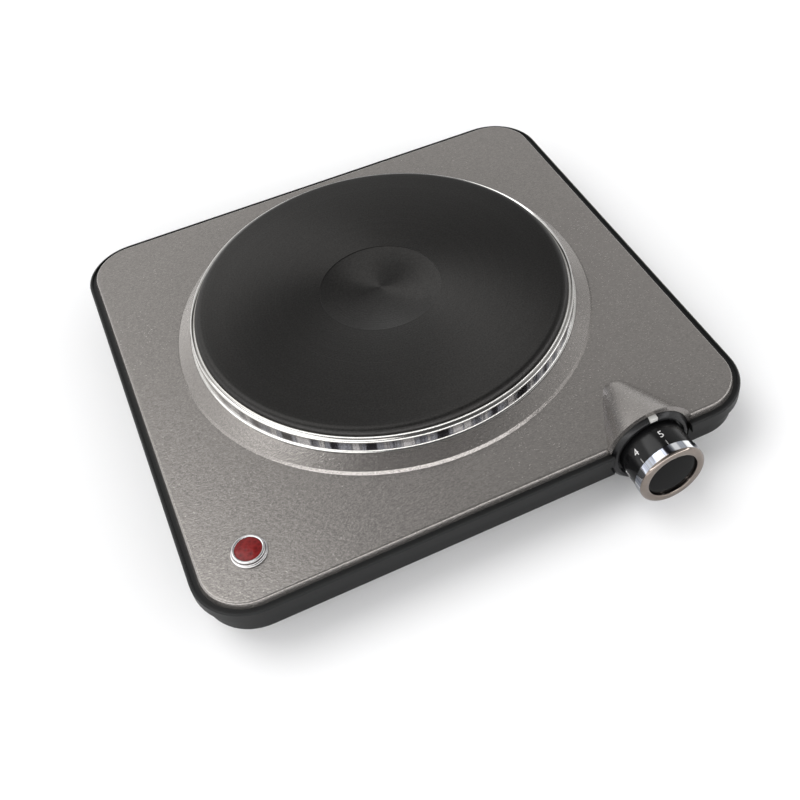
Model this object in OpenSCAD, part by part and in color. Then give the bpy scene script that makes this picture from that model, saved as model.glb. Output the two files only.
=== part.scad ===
// Single-ring electric hot plate with a sealed cast-iron heating plate,
// a pressed steel top cover, a two-tier black base and a front control knob.
// The frame stands on the table plane: Z = 0 is under the feet, -Y is the
// knob side, and the origin is the middle of the whole outline.

/* [Base] */
// Width of the base at its widest tier
base_w = 264; // [250:1:330]
// Depth of the base at its widest tier
base_d = 253.6; // [244:0.2:316]
// Corner radius of the widest tier
base_corner_r = 26.5; // [24:0.5:32]
// Clear height between the table and the underside of the base
foot_h = 8; // [7:0.5:12]
// Height of the narrow lower tier, its chamfer included
lower_tier_h = 14.2; // [12:0.2:20]
// Height of the wall of the wide upper tier
upper_tier_h = 5.7; // [5:0.1:8]
// How far the lower tier stands in from the upper one
tier_inset = 2.8; // [2:0.1:4]
// Chamfer round the bottom of the lower tier
base_chamfer = 4; // [2:0.5:5]
// Wall and floor thickness of the base
base_wall = 2.2; // [1.8:0.1:3]
// Width of the bead round the top of the upper tier
bead_w = 1.4; // [1:0.1:2]
// Height of the bead above the ledge that the cover stands on
bead_h = 0.9; // [0.5:0.1:1.5]
// Width of the ledge that the cover stands on, bead included
ledge_w = 9; // [8:0.5:12]

/* [Top cover] */
// Thickness of the pressed steel sheet
sheet_t = 0.6; // [0.5:0.1:1]
// Gap seen from above between the cover's skirt and the base's edge
cover_inset = 3.5; // [3:0.1:5]
// Corner radius of the skirt
cover_corner_r = 22; // [19:0.5:26]
// Height of the skirt above the ledge
skirt_h = 3; // [2.5:0.1:5]
// Radius of the edge between the top and the skirt
cover_edge_r = 1.2; // [1:0.1:1.8]
// Lean of the skirt from upright, in degrees
skirt_lean = 20; // [5:1:25]
// Outer radius of the raised collar round the heating plate
collar_r = 104.2; // [101:0.1:110]
// Height of the first small step of the raised collar
collar_step_h = 1.3; // [0.8:0.1:2]
// Whole height of the raised collar
collar_h = 5.1; // [4:0.1:8]

/* [Heating plate] */
// Diameter of the cast-iron plate
plate_d = 185; // [170:1:200]
// Distance of the plate's axis behind the middle of the base
plate_back = 8.3; // [4:0.1:12]
// Height of the plate's rim above the top sheet
plate_rim_h = 13; // [12:0.1:18]
// Height of the plate's flat above its rim
plate_crown = 2.5; // [1.5:0.1:3]
// Width of the rounded edge of the plate
plate_edge_w = 3.8; // [3:0.1:5]
// Thickness of the plate's rim flange
plate_flange_t = 1.5; // [1.2:0.1:2]
// Whole thickness of the plate below its flat
plate_t = 13.9; // [13:0.1:18]
// Diameter of the shallow recess in the middle of the plate
recess_d = 60; // [40:1:80]
// Depth of that recess
recess_depth = 0.5; // [0.3:0.1:1]
// Number of rings of the heating coil
coil_rings = 4; // [2:1:4]
// Diameter of the coil
coil_d = 3.6; // [3:0.1:4]
// Distance from ring to ring of the coil
coil_pitch = 13; // [12:0.5:13.5]
// Iron left outside the outermost groove
coil_edge = 5; // [3:1:11]

/* [Trim ring] */
// Outer radius of the band of the chromed ring beyond the plate's edge
trim_reach = 2.7; // [2:0.1:4]
// Sheet thickness of the ring
trim_t = 0.8; // [0.6:0.1:1]
// Depth of the shoulder below the plate's rim
trim_drop = 1; // [0.5:0.1:2]

/* [Knob] */
// Distance of the knob's axis to the right of the middle
knob_x = 74; // [60:1:84]
// Height of the knob's axis above the table
knob_z = 22; // [21.5:0.1:24]
// Diameter of the knob's grip
knob_d = 31.6; // [28:0.2:33]
// Length of the knob's black barrel
barrel_len = 13.5; // [12:0.1:18]
// Length of the chromed ring at the knob's front
knob_ring_len = 6; // [5:0.1:8]
// How far the chromed ring stands proud of the barrel
knob_ring_proud = 0.4; // [0.2:0.1:1]
// Diameter of the knob's front cap
cap_d = 23.9; // [20:0.1:25]
// How far the collar round the knob stands out from the grip
knob_collar_w = 4.2; // [3.5:0.1:4.4]
// Depth of that collar
knob_collar_len = 3.2; // [3:0.1:5]
// Diameter of the thermostat's spindle
spindle_d = 6; // [5:0.5:6.5]
// Running clearance of the spindle in its bush, on the radius
spindle_clear = 0.05; // [0.03:0.01:0.08]

/* [Pilot lamp] */
// Distance of the lamp to the left of the middle
lamp_left = 104.6; // [95:0.1:106]
// Distance of the lamp behind the front of the base
lamp_back = 28.1; // [25.8:0.1:36.8]
// Diameter of the red lens
lens_d = 11.8; // [10:0.1:13]
// Diameter of the lamp's chromed flange
lamp_flange_d = 16; // [15:0.1:18]
// Height of the lamp's ring above the top sheet
lamp_ring_h = 2.7; // [2:0.1:4]

/* [Mains inlet] */
// Distance of the cord gland to the right of the middle
gland_x = 74; // [40:1:90]
// Diameter of the gland's bore, for a round three-core cord
gland_bore_d = 7; // [6.5:0.5:8]
// How far the gland stands out behind the base
gland_reach = 5; // [4:0.5:8]

/* [Feet] */
// Diameter of a rubber foot
foot_d = 18; // [16:1:22]
// Distance of each foot in from the sides of the base
foot_inset = 44; // [42:1:50]

/* [Hidden] */
$fn = 96;
fine = 64;
eps = 0.01;

// small clearances
fit_gap = 0.2;
seat_gap = 0.3;
thread_gap = 0.05;

// heights, from the table upwards
base_z = foot_h;
tier_z = base_z + lower_tier_h;
bead_z = tier_z + upper_tier_h;
ledge_z = bead_z - bead_h;
top_z = ledge_z + skirt_h;
under_z = top_z - sheet_t;
floor_z = base_z + base_wall;
collar_top_z = top_z + collar_h;
rim_z = top_z + plate_rim_h;
plate_top_z = rim_z + plate_crown;
plate_under_z = plate_top_z - plate_t;

// the knob's stack of pieces, from the base's front edge outwards
boss_t = 2.4;
boss_back_of_edge = 4.6;
collar_floor_t = 1.2;
knob_gap = 0.6;
knob_front_reach = collar_floor_t + knob_gap + barrel_len + knob_ring_len - boss_back_of_edge;

// the outline's middle, and what follows from it
total_d = base_d + knob_front_reach + gland_reach;
body_y = -total_d / 2 + knob_front_reach + base_d / 2;
plate_y = body_y + plate_back;
base_front_y = body_y - base_d / 2;
base_back_y = body_y + base_d / 2;

// cover
cover_w = base_w - 2 * cover_inset;
cover_d = base_d - 2 * cover_inset;
cover_front_y = body_y - cover_d / 2;

// heating plate, ring and the hole for them
plate_r = plate_d / 2;
flange_under_z = rim_z - plate_flange_t;
plate_neck_r = plate_r - 4.5;
trim_r = plate_r + trim_reach;
trim_foot_w = 1;
cover_hole_r = plate_neck_r + 3;
groove_w = 8;
coil_first_r = plate_neck_r - coil_edge - groove_w / 2 - (coil_rings - 1) * coil_pitch;
groove_depth = 7;
coil_z = plate_under_z + groove_depth / 2;
element_cover_t = 0.6;
element_cover_z = plate_under_z - element_cover_t;

// shield, bar and stud below the plate
shield_t = 0.5;
shield_z = under_z + 0.1;
shield_r = plate_neck_r - 2;
shield_lip = element_cover_z - shield_z - shield_t;
bar_w = 20;
bar_t = 2;
bar_reach = 8;
bar_l = 2 * (collar_r + bar_reach);
bar_z = under_z - bar_t;
stud_d = 6;
stud_in = 8;
stud_below = 9;
washer_r = 7;
washer_t = 1.2;
nut_t = 4.5;
nut_af = 10;

// element terminals
term_y = plate_y + 34;
term_w = 26;
term_d = 12;
term_drop = 7;
pin_r = 1.4;
pin_x = 8;
pin_out = 3;

// thermal fuse under the clamp bar
fuse_x = 34;
fuse_r = 2.2;
fuse_l = 13;
fuse_clip_t = 0.4;
fuse_z = bar_z - fuse_r - fuse_clip_t;
earth_x = -bar_l / 4;

// thermostat
boss_y = base_front_y + boss_back_of_edge;
boss_in_y = boss_y + boss_t;
bracket_t = 1.2;
stat_y = boss_in_y + bracket_t;
stat_w = 26;
stat_len = 20;
stat_h = 16;
stat_z = floor_z + 2.2;
stat_wall = 2;
bush_r = 5;
bush_flange_r = 7;
bush_flange_t = 1.2;
bush_nut_t = 2.4;
bush_nut_af = 14;
bush_out = 4.2;
stat_screw_x = 14;
stat_screw_r = 1.5;
stat_screw_head_r = 2.8;
stat_screw_head_t = 1.8;
stat_screw_l = 6;
foot_tab = 14;
bracket_w = 34;
chamber_y = stat_y + 12;
blade_t = 0.6;
blade_w = 8;
blade_l = 20;
blade_x = knob_x - stat_w / 2 + stat_wall;
bimetal_y = chamber_y + 3.4;
leaf_y = chamber_y + 5.4;
blade_tab_w = 5;
blade_tab_l = 8;
blade_tab_t = 0.8;
blade_tab_y = leaf_y + blade_t + 0.6;
stat_term_x = 8;

// knob
knob_r = knob_d / 2;
knob_ring_r = knob_r + knob_ring_proud;
knob_back_y = boss_y - collar_floor_t - knob_gap;
barrel_front_y = knob_back_y - barrel_len;
knob_wall = 2;
knob_web_t = 2;
spigot_r = knob_r - 2;
spigot_len = 4;
hub_r = 6.2;
hub_back = 5;
cap_r = cap_d / 2;
cap_t = 1;
cap_depth = 1.2;
spindle_r = spindle_d / 2;
spindle_flat = 1.2;
spindle_in = 8;
spindle_front_y = barrel_front_y + 3;
clip_t = 0.5;
clip_w = 4;
clip_in = 0.7;
clip_l = spindle_in - 2.4;
flat_z = knob_z + spindle_r - spindle_flat;
knob_collar_r = knob_r + knob_collar_w;
collar_shoulder = 1.6;
collar_bore_r = knob_r + 0.9;
marker_w = 3.8;
pin_slide_r = 1.5;
pin_gap = 0.1;

// bump of the cover over the knob
bump_nose_r = knob_collar_r - 9.5;
bump_lean = 22.4;
bump_nose_back = 26.6;
bump_step = 10;
arch_r = knob_collar_r + fit_gap;

// pilot lamp
lamp_x = -lamp_left;
lamp_y = base_front_y + lamp_back;
lens_r = lens_d / 2;
lamp_tube_r = lens_r + 0.7;
lamp_flange_t = 0.8;
lamp_tube_drop = 8;
lamp_clip_r = lamp_tube_r + 3;
lamp_clip_t = 1.2;
lamp_holder_r = lens_r - 0.2;
lamp_holder_bottom_z = floor_z + 5;
bulb_r = 2.6;
bulb_l = 9;

// mains side
gland_wall_y = base_back_y - tier_inset;
gland_z = (base_z + base_chamfer + tier_z) / 2;
gland_r = gland_bore_d / 2 + 1.2;
gland_nut_r = gland_r + 1.3;
gland_nut_t = 2.5;
gland_pad_t = base_chamfer - base_wall / 2 + 0.2;
gland_wall_t = base_wall + gland_pad_t;
block_w = 34;
block_d = 12;
block_h = 10;
block_x = gland_x - 18;
block_y = base_back_y - 40;
block_bore_r = 1.6;
block_pitch = 10;
block_screw_r = 1.5;
block_screw_l = 4;

// leads
lead_d = 2.2;
lead_sides = 8;
lead_steps = 4;
block_front_y = block_y - block_d / 2;
block_bore_z = floor_z + block_h / 2;
lead_in = 2.5;
lead_out = 3;
stat_tab_y = blade_tab_y + blade_tab_l + thread_gap;
stat_tab_z = stat_z + stat_wall + blade_tab_t / 2;
pin_end_z = element_cover_z - term_drop - pin_out - thread_gap;
side_x = base_w / 2 - 32;
lead_low_z = floor_z + 4;

// fixings
post_r = 4;
post_x = base_w / 2 - 14;
post_dy = 45;
cover_screw_r = 2;
cover_screw_l = 9;
cover_screw_head_r = 3.6;
cover_screw_head_t = 2;
foot_screw_r = 1.8;
foot_screw_head_r = 3.4;
foot_screw_head_t = 1.8;
foot_pocket = 4;
foot_boss_h = 5;
foot_boss_r = 4.5;
bracket_screw_r = 1.5;
bracket_screw_head_r = 2.8;
bracket_screw_head_t = 1.5;
bracket_screw_x = 12;
bracket_screw_back = 9;

// vents in the floor
vent_count = 7;
vent_w = 5;
vent_l = 60;
vent_pitch = 14;

// ---------- shared shapes ----------

// Sweeps a section round a rectangle with round corners. The section's X runs
// outwards from the corner's centre and its Y is the height.
module around_rect(w, d, r) {
    for (i = [0:3]) {
        half = i % 2 == 0 ? w / 2 : d / 2;
        run = i % 2 == 0 ? d / 2 : w / 2;
        rotate([0, 0, 90 * i])
            translate([half - r, run - r, 0]) {
                rotate_extrude(angle = 90)
                    children();
                rotate([90, 0, 0])
                    linear_extrude(2 * (run - r))
                        children();
            }
    }
}

// A block between the four corner centres of such a rectangle.
module core(w, d, r, z, h) {
    translate([-(w / 2 - r), -(d / 2 - r), z])
        cube([w - 2 * r, d - 2 * r, h]);
}

// Puts its children on the knob's axis with Z along the axis towards the front.
module on_knob_axis(y) {
    translate([knob_x, y, knob_z])
        rotate([90, 0, 0])
            children();
}

// A round bar along Y between two depths, on the knob's axis.
module axis_bar(back_y, front_y, r) {
    on_knob_axis(back_y)
        cylinder(h = back_y - front_y, r = r);
}

module hex_nut(af, h, bore_r) {
    difference() {
        cylinder(h = h, r = af / 2 / cos(30), $fn = 6);
        translate([0, 0, -1])
            cylinder(h = h + 2, r = bore_r, $fn = fine);
    }
}

// Screw pointing up, its head at the bottom with a cross recess.
module screw_up(r, l, head_r, head_t) {
    slot_w = 0.9;
    difference() {
        union() {
            cylinder(h = head_t, r = head_r, $fn = fine);
            cylinder(h = head_t + l, r = r, $fn = fine);
        }
        for (a = [0, 90])
            rotate([0, 0, a])
                translate([-head_r * 0.6, -slot_w / 2, -eps])
                    cube([head_r * 1.2, slot_w, head_t / 2]);
    }
}

module at_corners(dx, dy) {
    for (sx = [-1, 1], sy = [-1, 1])
        translate([sx * dx, body_y + sy * dy, 0])
            children();
}

// Rows of points on a smooth line through hand-placed points.
function curve_at(a, b, c, d, t) =
    0.5 * (2 * b + (c - a) * t + (2 * a - 5 * b + 4 * c - d) * t * t + (3 * b - a - 3 * c + d) * t * t * t);
function smooth(p, n) = concat(
    [for (i = [0:len(p) - 2], j = [0:n - 1])
        curve_at(p[max(i - 1, 0)], p[i], p[i + 1], p[min(i + 2, len(p) - 1)], j / n)],
    [p[len(p) - 1]]);
function unit(v) = v / norm(v);
function heading(p, i) = unit(p[min(i + 1, len(p) - 1)] - p[max(i - 1, 0)]);
lead_up = unit([0.31, 0.17, 0.93]);

// A round lead swept along a smooth line.
module lead(points, d) {
    p = smooth(points, lead_steps);
    n = len(p);
    s = lead_sides;
    ring = [for (i = [0:n - 1])
        let (t = heading(p, i), u = unit(cross(lead_up, t)), v = cross(t, u))
        for (k = [0:s - 1])
            p[i] + d / 2 * (cos(360 * k / s) * u + sin(360 * k / s) * v)];
    sides = [for (i = [0:n - 2], k = [0:s - 1])
        [i * s + k, (i + 1) * s + k, (i + 1) * s + (k + 1) % s, i * s + (k + 1) % s]];
    first = [for (k = [0:s - 1]) k];
    last = [for (k = [0:s - 1]) (n - 1) * s + s - 1 - k];
    polyhedron(points = ring, faces = concat(sides, [first], [last]), convexity = 6);
}

// ---------- base ----------

module base_section() {
    r = base_corner_r;
    low = r - tier_inset;
    inner = low - base_wall;
    polygon([
        [0, base_z], [low - base_chamfer, base_z], [low, base_z + base_chamfer],
        [low, tier_z], [r, tier_z], [r, bead_z - bead_w / 2], [r - bead_w / 2, bead_z],
        [r - bead_w, bead_z], [r - bead_w, ledge_z], [r - ledge_w, ledge_z],
        [r - ledge_w, ledge_z - base_wall], [r - base_wall, ledge_z - base_wall],
        [r - base_wall, tier_z + base_wall], [inner, tier_z + base_wall],
        [inner, base_z + base_chamfer + base_wall / 2],
        [inner - base_chamfer + base_wall / 2, floor_z], [0, floor_z]
    ]);
}

module vents() {
    for (i = [0:vent_count - 1])
        translate([(i - (vent_count - 1) / 2) * vent_pitch, plate_y, 0])
            for (side = [-1, 1])
                translate([-vent_w / 2, side * (vent_l / 2 + 6) - vent_l / 2, base_z - 1])
                    cube([vent_w, vent_l, base_wall + 2]);
}

module base_pan() {
    pad_w = 2 * knob_collar_r + 8;
    pad_top = tier_z + base_wall;
    color("#26282a")
    difference() {
        union() {
            translate([0, body_y, 0]) {
                around_rect(base_w, base_d, base_corner_r)
                    base_section();
                core(base_w, base_d, base_corner_r, base_z, base_wall);
            }
            axis_bar(boss_in_y, boss_y, knob_collar_r);
            translate([knob_x - pad_w / 2, boss_y, floor_z - eps])
                cube([pad_w, boss_t, pad_top - floor_z]);
            for (s = [-1, 1])
                translate([knob_x + s * (pad_w / 2 - base_wall / 2) - base_wall / 2, boss_y, floor_z - eps])
                    cube([base_wall, boss_t + 8, 10]);
            at_corners(base_w / 2 - foot_inset, base_d / 2 - foot_inset)
                translate([0, 0, floor_z - eps])
                    cylinder(h = foot_boss_h, r = foot_boss_r, $fn = fine);
            // flat seat for the gland's nut
            translate([gland_x - gland_nut_r - 2, gland_wall_y - gland_wall_t, floor_z - eps])
                cube([2 * gland_nut_r + 4, gland_wall_t - eps, tier_z + base_wall - floor_z]);
        }
        // round pocket that the knob's collar stands in
        axis_bar(boss_y, boss_y - 20, knob_collar_r + 2 * fit_gap);
        // room for the bracket and the thermostat behind the boss
        translate([knob_x - bracket_w / 2 - fit_gap, boss_in_y, floor_z])
            cube([bracket_w + 2 * fit_gap, stat_len, ledge_z]);
        // holes of the bush and of the thermostat's screws
        axis_bar(boss_in_y + 1, boss_y - 1, bush_r + fit_gap);
        for (s = [-1, 1])
            translate([s * stat_screw_x, 0, 0])
                axis_bar(boss_in_y + 1, boss_y - 1, stat_screw_head_r + fit_gap);
        vents();
        at_corners(base_w / 2 - foot_inset, base_d / 2 - foot_inset)
            translate([0, 0, base_z - 1])
                cylinder(h = base_wall + foot_boss_h + 2, r = foot_screw_r + thread_gap, $fn = fine);
        at_corners(post_x, post_dy)
            translate([0, 0, base_z - 1])
                cylinder(h = base_wall + 2, r = cover_screw_r + fit_gap, $fn = fine);
        for (s = [-1, 1])
            translate([knob_x + s * bracket_screw_x, boss_in_y + bracket_screw_back, base_z - 1])
                cylinder(h = base_wall + 2, r = bracket_screw_r + fit_gap, $fn = fine);
        translate([gland_x, gland_wall_y + 1, gland_z])
            rotate([90, 0, 0])
                cylinder(h = gland_wall_t + 2, r = gland_r + thread_gap, $fn = fine);
    }
}

// ---------- top cover ----------

// Filled section of the cover's edge, taken in by a distance.
module edge_fill(in) {
    drop = skirt_h - cover_edge_r + cover_edge_r * sin(skirt_lean);
    centre_u = cover_corner_r - drop * tan(skirt_lean) - cover_edge_r * cos(skirt_lean);
    e = cover_edge_r - in;
    cz = top_z - cover_edge_r;
    low = ledge_z - (in > 0 ? 1 : 0);
    side_u = centre_u + e * cos(skirt_lean);
    side_z = cz + e * sin(skirt_lean);
    foot_u = side_u + (side_z - low) * tan(skirt_lean);
    translate([centre_u, cz])
        circle(r = e, $fn = fine);
    polygon([[0, low], [foot_u, low], [side_u, side_z], [centre_u, cz], [centre_u, cz + e], [0, cz + e]]);
}

// The bump over the knob, a cone with a round nose, taken in by a distance.
module bump_fill(in, front_y) {
    nose_y = boss_y + bump_nose_back - in;
    r = bump_nose_r - in;
    join_r = r * cos(bump_lean);
    join_y = -r * sin(bump_lean);
    len = nose_y - front_y;
    front_r = join_r + (len - join_y) * tan(bump_lean);
    nose = [for (a = [bump_step:bump_step:90 - bump_lean]) [r * sin(a), -r * cos(a)]];
    on_knob_axis(nose_y)
        rotate_extrude()
            polygon(concat([[0, len], [0, -r]], nose, [[join_r, join_y], [front_r, len]]));
}

module collar_section(inner_r) {
    pts = [
        [collar_r, top_z], [collar_r - 1, top_z + collar_step_h],
        [trim_r + trim_foot_w + 0.4, collar_top_z], [inner_r, collar_top_z]
    ];
    low = [for (i = [len(pts) - 1:-1:0]) [pts[i].x, pts[i].y - sheet_t]];
    polygon(concat(pts, low));
}

module top_cover() {
    color("#8d8882")
    difference() {
        union() {
            difference() {
                union() {
                    translate([0, body_y, 0]) {
                        around_rect(cover_w, cover_d, cover_corner_r)
                            difference() {
                                edge_fill(0);
                                edge_fill(sheet_t);
                            }
                        core(cover_w, cover_d, cover_corner_r, under_z, sheet_t);
                    }
                    intersection() {
                        bump_fill(0, cover_front_y);
                        translate([knob_x - 40, cover_front_y, under_z])
                            cube([80, 60, 40]);
                    }
                    // front face of the arch, down to the ledge
                    intersection() {
                        on_knob_axis(cover_front_y + sheet_t)
                            cylinder(h = sheet_t, r = arch_r + 2);
                        translate([knob_x - 40, cover_front_y - 1, ledge_z])
                            cube([80, 3, 40]);
                    }
                }
                translate([0, plate_y, under_z - 1])
                    cylinder(h = 10, r = collar_r - eps);
                bump_fill(sheet_t, cover_front_y + sheet_t);
            }
            translate([0, plate_y, 0])
                rotate_extrude()
                    collar_section(cover_hole_r);
        }
        axis_bar(cover_front_y + 2, cover_front_y - 2, arch_r);
        translate([lamp_x, lamp_y, under_z - 1])
            cylinder(h = 3, r = lamp_tube_r + fit_gap, $fn = fine);
    }
}

// Posts welded under the cover, which take the cover's screws.
module cover_posts() {
    color("#a3a5a8")
    at_corners(post_x, post_dy)
        translate([0, 0, floor_z])
            difference() {
                cylinder(h = under_z - floor_z, r = post_r, $fn = fine);
                translate([0, 0, -1])
                    cylinder(h = cover_screw_l + 1, r = cover_screw_r + thread_gap, $fn = fine);
            }
}

// ---------- heating plate and what holds it ----------

// The coil's rings, the link between them and its two tails.
module coil_shape(grow) {
    r = coil_d / 2 + grow;
    last_r = coil_first_r + (coil_rings - 1) * coil_pitch;
    translate([0, plate_y, coil_z]) {
        for (i = [0:coil_rings - 1])
            rotate_extrude()
                translate([coil_first_r + i * coil_pitch, 0])
                    circle(r = r, $fn = fine);
        rotate([0, 90, 0])
            translate([0, 0, coil_first_r])
                cylinder(h = last_r - coil_first_r, r = r / 2, $fn = fine);
    }
}

module coil_grooves(gap) {
    translate([0, plate_y, plate_under_z])
        for (i = [0:coil_rings - 1])
            difference() {
                translate([0, 0, -gap])
                    cylinder(h = groove_depth + gap, r = coil_first_r + i * coil_pitch + groove_w / 2);
                translate([0, 0, -gap - 1])
                    cylinder(h = groove_depth + gap + 2, r = coil_first_r + i * coil_pitch - groove_w / 2);
            }
}

module heating_plate() {
    edge_r = (plate_edge_w * plate_edge_w + plate_crown * plate_crown) / (2 * plate_crown);
    color("#2c2b2a")
    difference() {
        translate([0, plate_y, 0])
            rotate_extrude()
                difference() {
                    union() {
                        translate([0, plate_under_z])
                            square([plate_neck_r, plate_top_z - plate_under_z]);
                        translate([0, flange_under_z])
                            square([plate_r, rim_z - flange_under_z]);
                        intersection() {
                            translate([plate_r - plate_edge_w, plate_top_z - edge_r])
                                circle(r = edge_r, $fn = 256);
                            translate([plate_r - plate_edge_w - eps, rim_z - eps])
                                square([plate_edge_w + eps, plate_crown + 1]);
                        }
                        translate([0, rim_z - eps])
                            square([plate_r - plate_edge_w, plate_crown + eps]);
                    }
                    translate([-1, plate_top_z - recess_depth])
                        square([recess_d / 2 + 1, 5]);
                }
        coil_grooves(1);
        coil_shape(0);
        translate([0, plate_y, plate_under_z - 1])
            cylinder(h = stud_in + 1, r = stud_d / 2, $fn = fine);
        // seat of the terminal's ceramic
        for (s = [-1, 1])
            translate([s * pin_x, term_y, plate_under_z - 1])
                cylinder(h = 3, r = pin_r, $fn = fine);
    }
}

module insulating_cement() {
    color("#cfc8b8")
    difference() {
        coil_grooves(0);
        coil_shape(0);
        for (s = [-1, 1])
            translate([s * pin_x, term_y, plate_under_z - 1])
                cylinder(h = 3, r = pin_r, $fn = fine);
    }
}

module heating_coil() {
    color("#7d766c")
        coil_shape(0);
}

module element_cover() {
    color("#a8a6a2")
    difference() {
        translate([0, plate_y, element_cover_z])
            cylinder(h = element_cover_t, r = plate_neck_r - 1);
        translate([0, plate_y, element_cover_z - 1])
            cylinder(h = 3, r = stud_d / 2 + fit_gap, $fn = fine);
        for (s = [-1, 1])
            translate([s * pin_x, term_y, element_cover_z - 1])
                cylinder(h = 3, r = pin_r + fit_gap, $fn = fine);
    }
}

module trim_ring() {
    t = trim_t;
    top = rim_z - trim_drop;
    lip_z = flange_under_z;
    out_r = trim_r;
    color("#d8dade")
    translate([0, plate_y, 0])
        rotate_extrude()
            polygon([
                [plate_neck_r + 0.5, lip_z - t], [out_r - t, lip_z - t], [out_r - t, collar_top_z],
                [out_r + trim_foot_w, collar_top_z], [out_r + trim_foot_w, collar_top_z + t / 2],
                [out_r, collar_top_z + t], [out_r, top - t], [out_r - t / 2, top - t / 8],
                [out_r - t, top], [out_r - 1.6 * t, top - t / 4], [plate_r + 0.35, top - t / 4],
                [plate_r + 0.1, top + t / 2], [plate_r + 0.02, top], [plate_r + 0.02, lip_z],
                [plate_neck_r + 0.5, lip_z]
            ]);
}

module element_terminal() {
    color("#e8e2d2")
    difference() {
        translate([-term_w / 2, term_y - term_d / 2, element_cover_z - term_drop])
            cube([term_w, term_d, term_drop]);
        for (s = [-1, 1])
            translate([s * pin_x, term_y, element_cover_z - term_drop - 1])
                cylinder(h = term_drop + 2, r = pin_r + fit_gap, $fn = fine);
    }
}

module terminal_pins() {
    color("#b9bcc0")
    for (s = [-1, 1])
        translate([s * pin_x, term_y, element_cover_z - term_drop - pin_out])
            cylinder(h = plate_under_z + 2 - element_cover_z + term_drop + pin_out, r = pin_r, $fn = fine);
}

module centre_stud() {
    color("#9a9da1")
    translate([0, plate_y, bar_z - stud_below])
        cylinder(h = plate_under_z + stud_in - bar_z + stud_below, r = stud_d / 2, $fn = fine);
}

module clamp_bar() {
    color("#9a9da1")
    difference() {
        translate([-bar_l / 2, plate_y - bar_w / 2, bar_z])
            cube([bar_l, bar_w, bar_t]);
        translate([0, plate_y, bar_z - 1])
            cylinder(h = bar_t + 2, r = stud_d / 2 + fit_gap, $fn = fine);
        translate([-bar_l / 4, plate_y, bar_z - 1])
            cylinder(h = bar_t + 2, r = cover_screw_r + thread_gap, $fn = fine);
    }
}

module centre_washer() {
    color("#b9bcc0")
    difference() {
        translate([0, plate_y, bar_z - washer_t])
            cylinder(h = washer_t, r = washer_r, $fn = fine);
        translate([0, plate_y, bar_z - washer_t - 1])
            cylinder(h = washer_t + 2, r = stud_d / 2 + fit_gap, $fn = fine);
    }
}

module centre_nut() {
    color("#b9bcc0")
    translate([0, plate_y, bar_z - washer_t - nut_t])
        hex_nut(nut_af, nut_t, stud_d / 2 + thread_gap);
}

module heat_shield() {
    color("#c4c6c8")
    difference() {
        translate([0, plate_y, shield_z])
            difference() {
                cylinder(h = shield_t + shield_lip, r = shield_r);
                translate([0, 0, shield_t])
                    cylinder(h = shield_lip + 1, r = shield_r - shield_t);
            }
        translate([0, plate_y, shield_z - 1])
            cylinder(h = 3, r = stud_d / 2 + fit_gap, $fn = fine);
        translate([-term_w / 2 - 1, term_y - term_d / 2 - 1, shield_z - 1])
            cube([term_w + 2, term_d + 2, 3]);
    }
}

module thermal_fuse() {
    color("#d9d4c4")
    translate([fuse_x, plate_y - fuse_l / 2, fuse_z])
        rotate([-90, 0, 0])
            cylinder(h = fuse_l, r = fuse_r, $fn = fine);
}

module fuse_clip() {
    clip_l = 6;
    t = fuse_clip_t;
    color("#9a9da1")
    translate([fuse_x, plate_y - clip_l / 2, fuse_z])
        rotate([-90, 0, 0])
            difference() {
                union() {
                    cylinder(h = clip_l, r = fuse_r + t, $fn = fine);
                    translate([-fuse_r - 4, -fuse_r - t, 0])
                        cube([2 * fuse_r + 8, t, clip_l]);
                }
                translate([0, 0, -1])
                    cylinder(h = clip_l + 2, r = fuse_r, $fn = fine);
            }
}

// ---------- thermostat ----------

module thermostat_bracket() {
    tall = stat_z + stat_h - floor_z;
    color("#a8a6a2")
    difference() {
        union() {
            translate([knob_x - bracket_w / 2, boss_in_y, floor_z])
                cube([bracket_w, bracket_t, tall]);
            translate([knob_x - bracket_w / 2, boss_in_y, floor_z])
                cube([bracket_w, foot_tab, bracket_t]);
        }
        axis_bar(stat_y + 1, boss_in_y - 1, bush_r + fit_gap);
        for (s = [-1, 1])
            translate([s * stat_screw_x, 0, 0])
                axis_bar(stat_y + 1, boss_in_y - 1, stat_screw_r + fit_gap);
        for (s = [-1, 1])
            translate([knob_x + s * bracket_screw_x, boss_in_y + bracket_screw_back, floor_z - 1])
                cylinder(h = bracket_t + 2, r = bracket_screw_r + thread_gap, $fn = fine);
    }
}

// The ceramic body: a box with ears for its screws, open at the back.
module thermostat_body() {
    ear_w = 2 * (stat_screw_x + 3);
    pin_hole_y = stat_y + 6;
    color("#e6dfcd")
    difference() {
        union() {
            translate([knob_x - stat_w / 2, stat_y, stat_z])
                cube([stat_w, stat_len, stat_h]);
            translate([knob_x - ear_w / 2, stat_y, knob_z - 4])
                cube([ear_w, 5, 8]);
        }
        // chamber for the blades, with the setting pin's bore in front of it
        translate([knob_x - stat_w / 2 + stat_wall, pin_hole_y + 6, stat_z + stat_wall])
            cube([stat_w - 2 * stat_wall, stat_len, stat_h - 2 * stat_wall]);
        axis_bar(stat_y + stat_len, pin_hole_y, pin_slide_r + spindle_clear);
        // pocket for the bush's flange and the spindle's end
        axis_bar(stat_y + bush_flange_t, stat_y - 1, bush_flange_r + fit_gap);
        axis_bar(pin_hole_y + eps, stat_y - 1, spindle_r + seat_gap);
        for (s = [-1, 1])
            translate([s * stat_screw_x, 0, 0])
                axis_bar(stat_y + 4.5, stat_y - 1, stat_screw_r + thread_gap);
    }
}

module bimetal_strip() {
    color("#b08a4a")
    translate([blade_x, bimetal_y, knob_z - blade_w / 2])
        cube([blade_l, blade_t, blade_w]);
}

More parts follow.
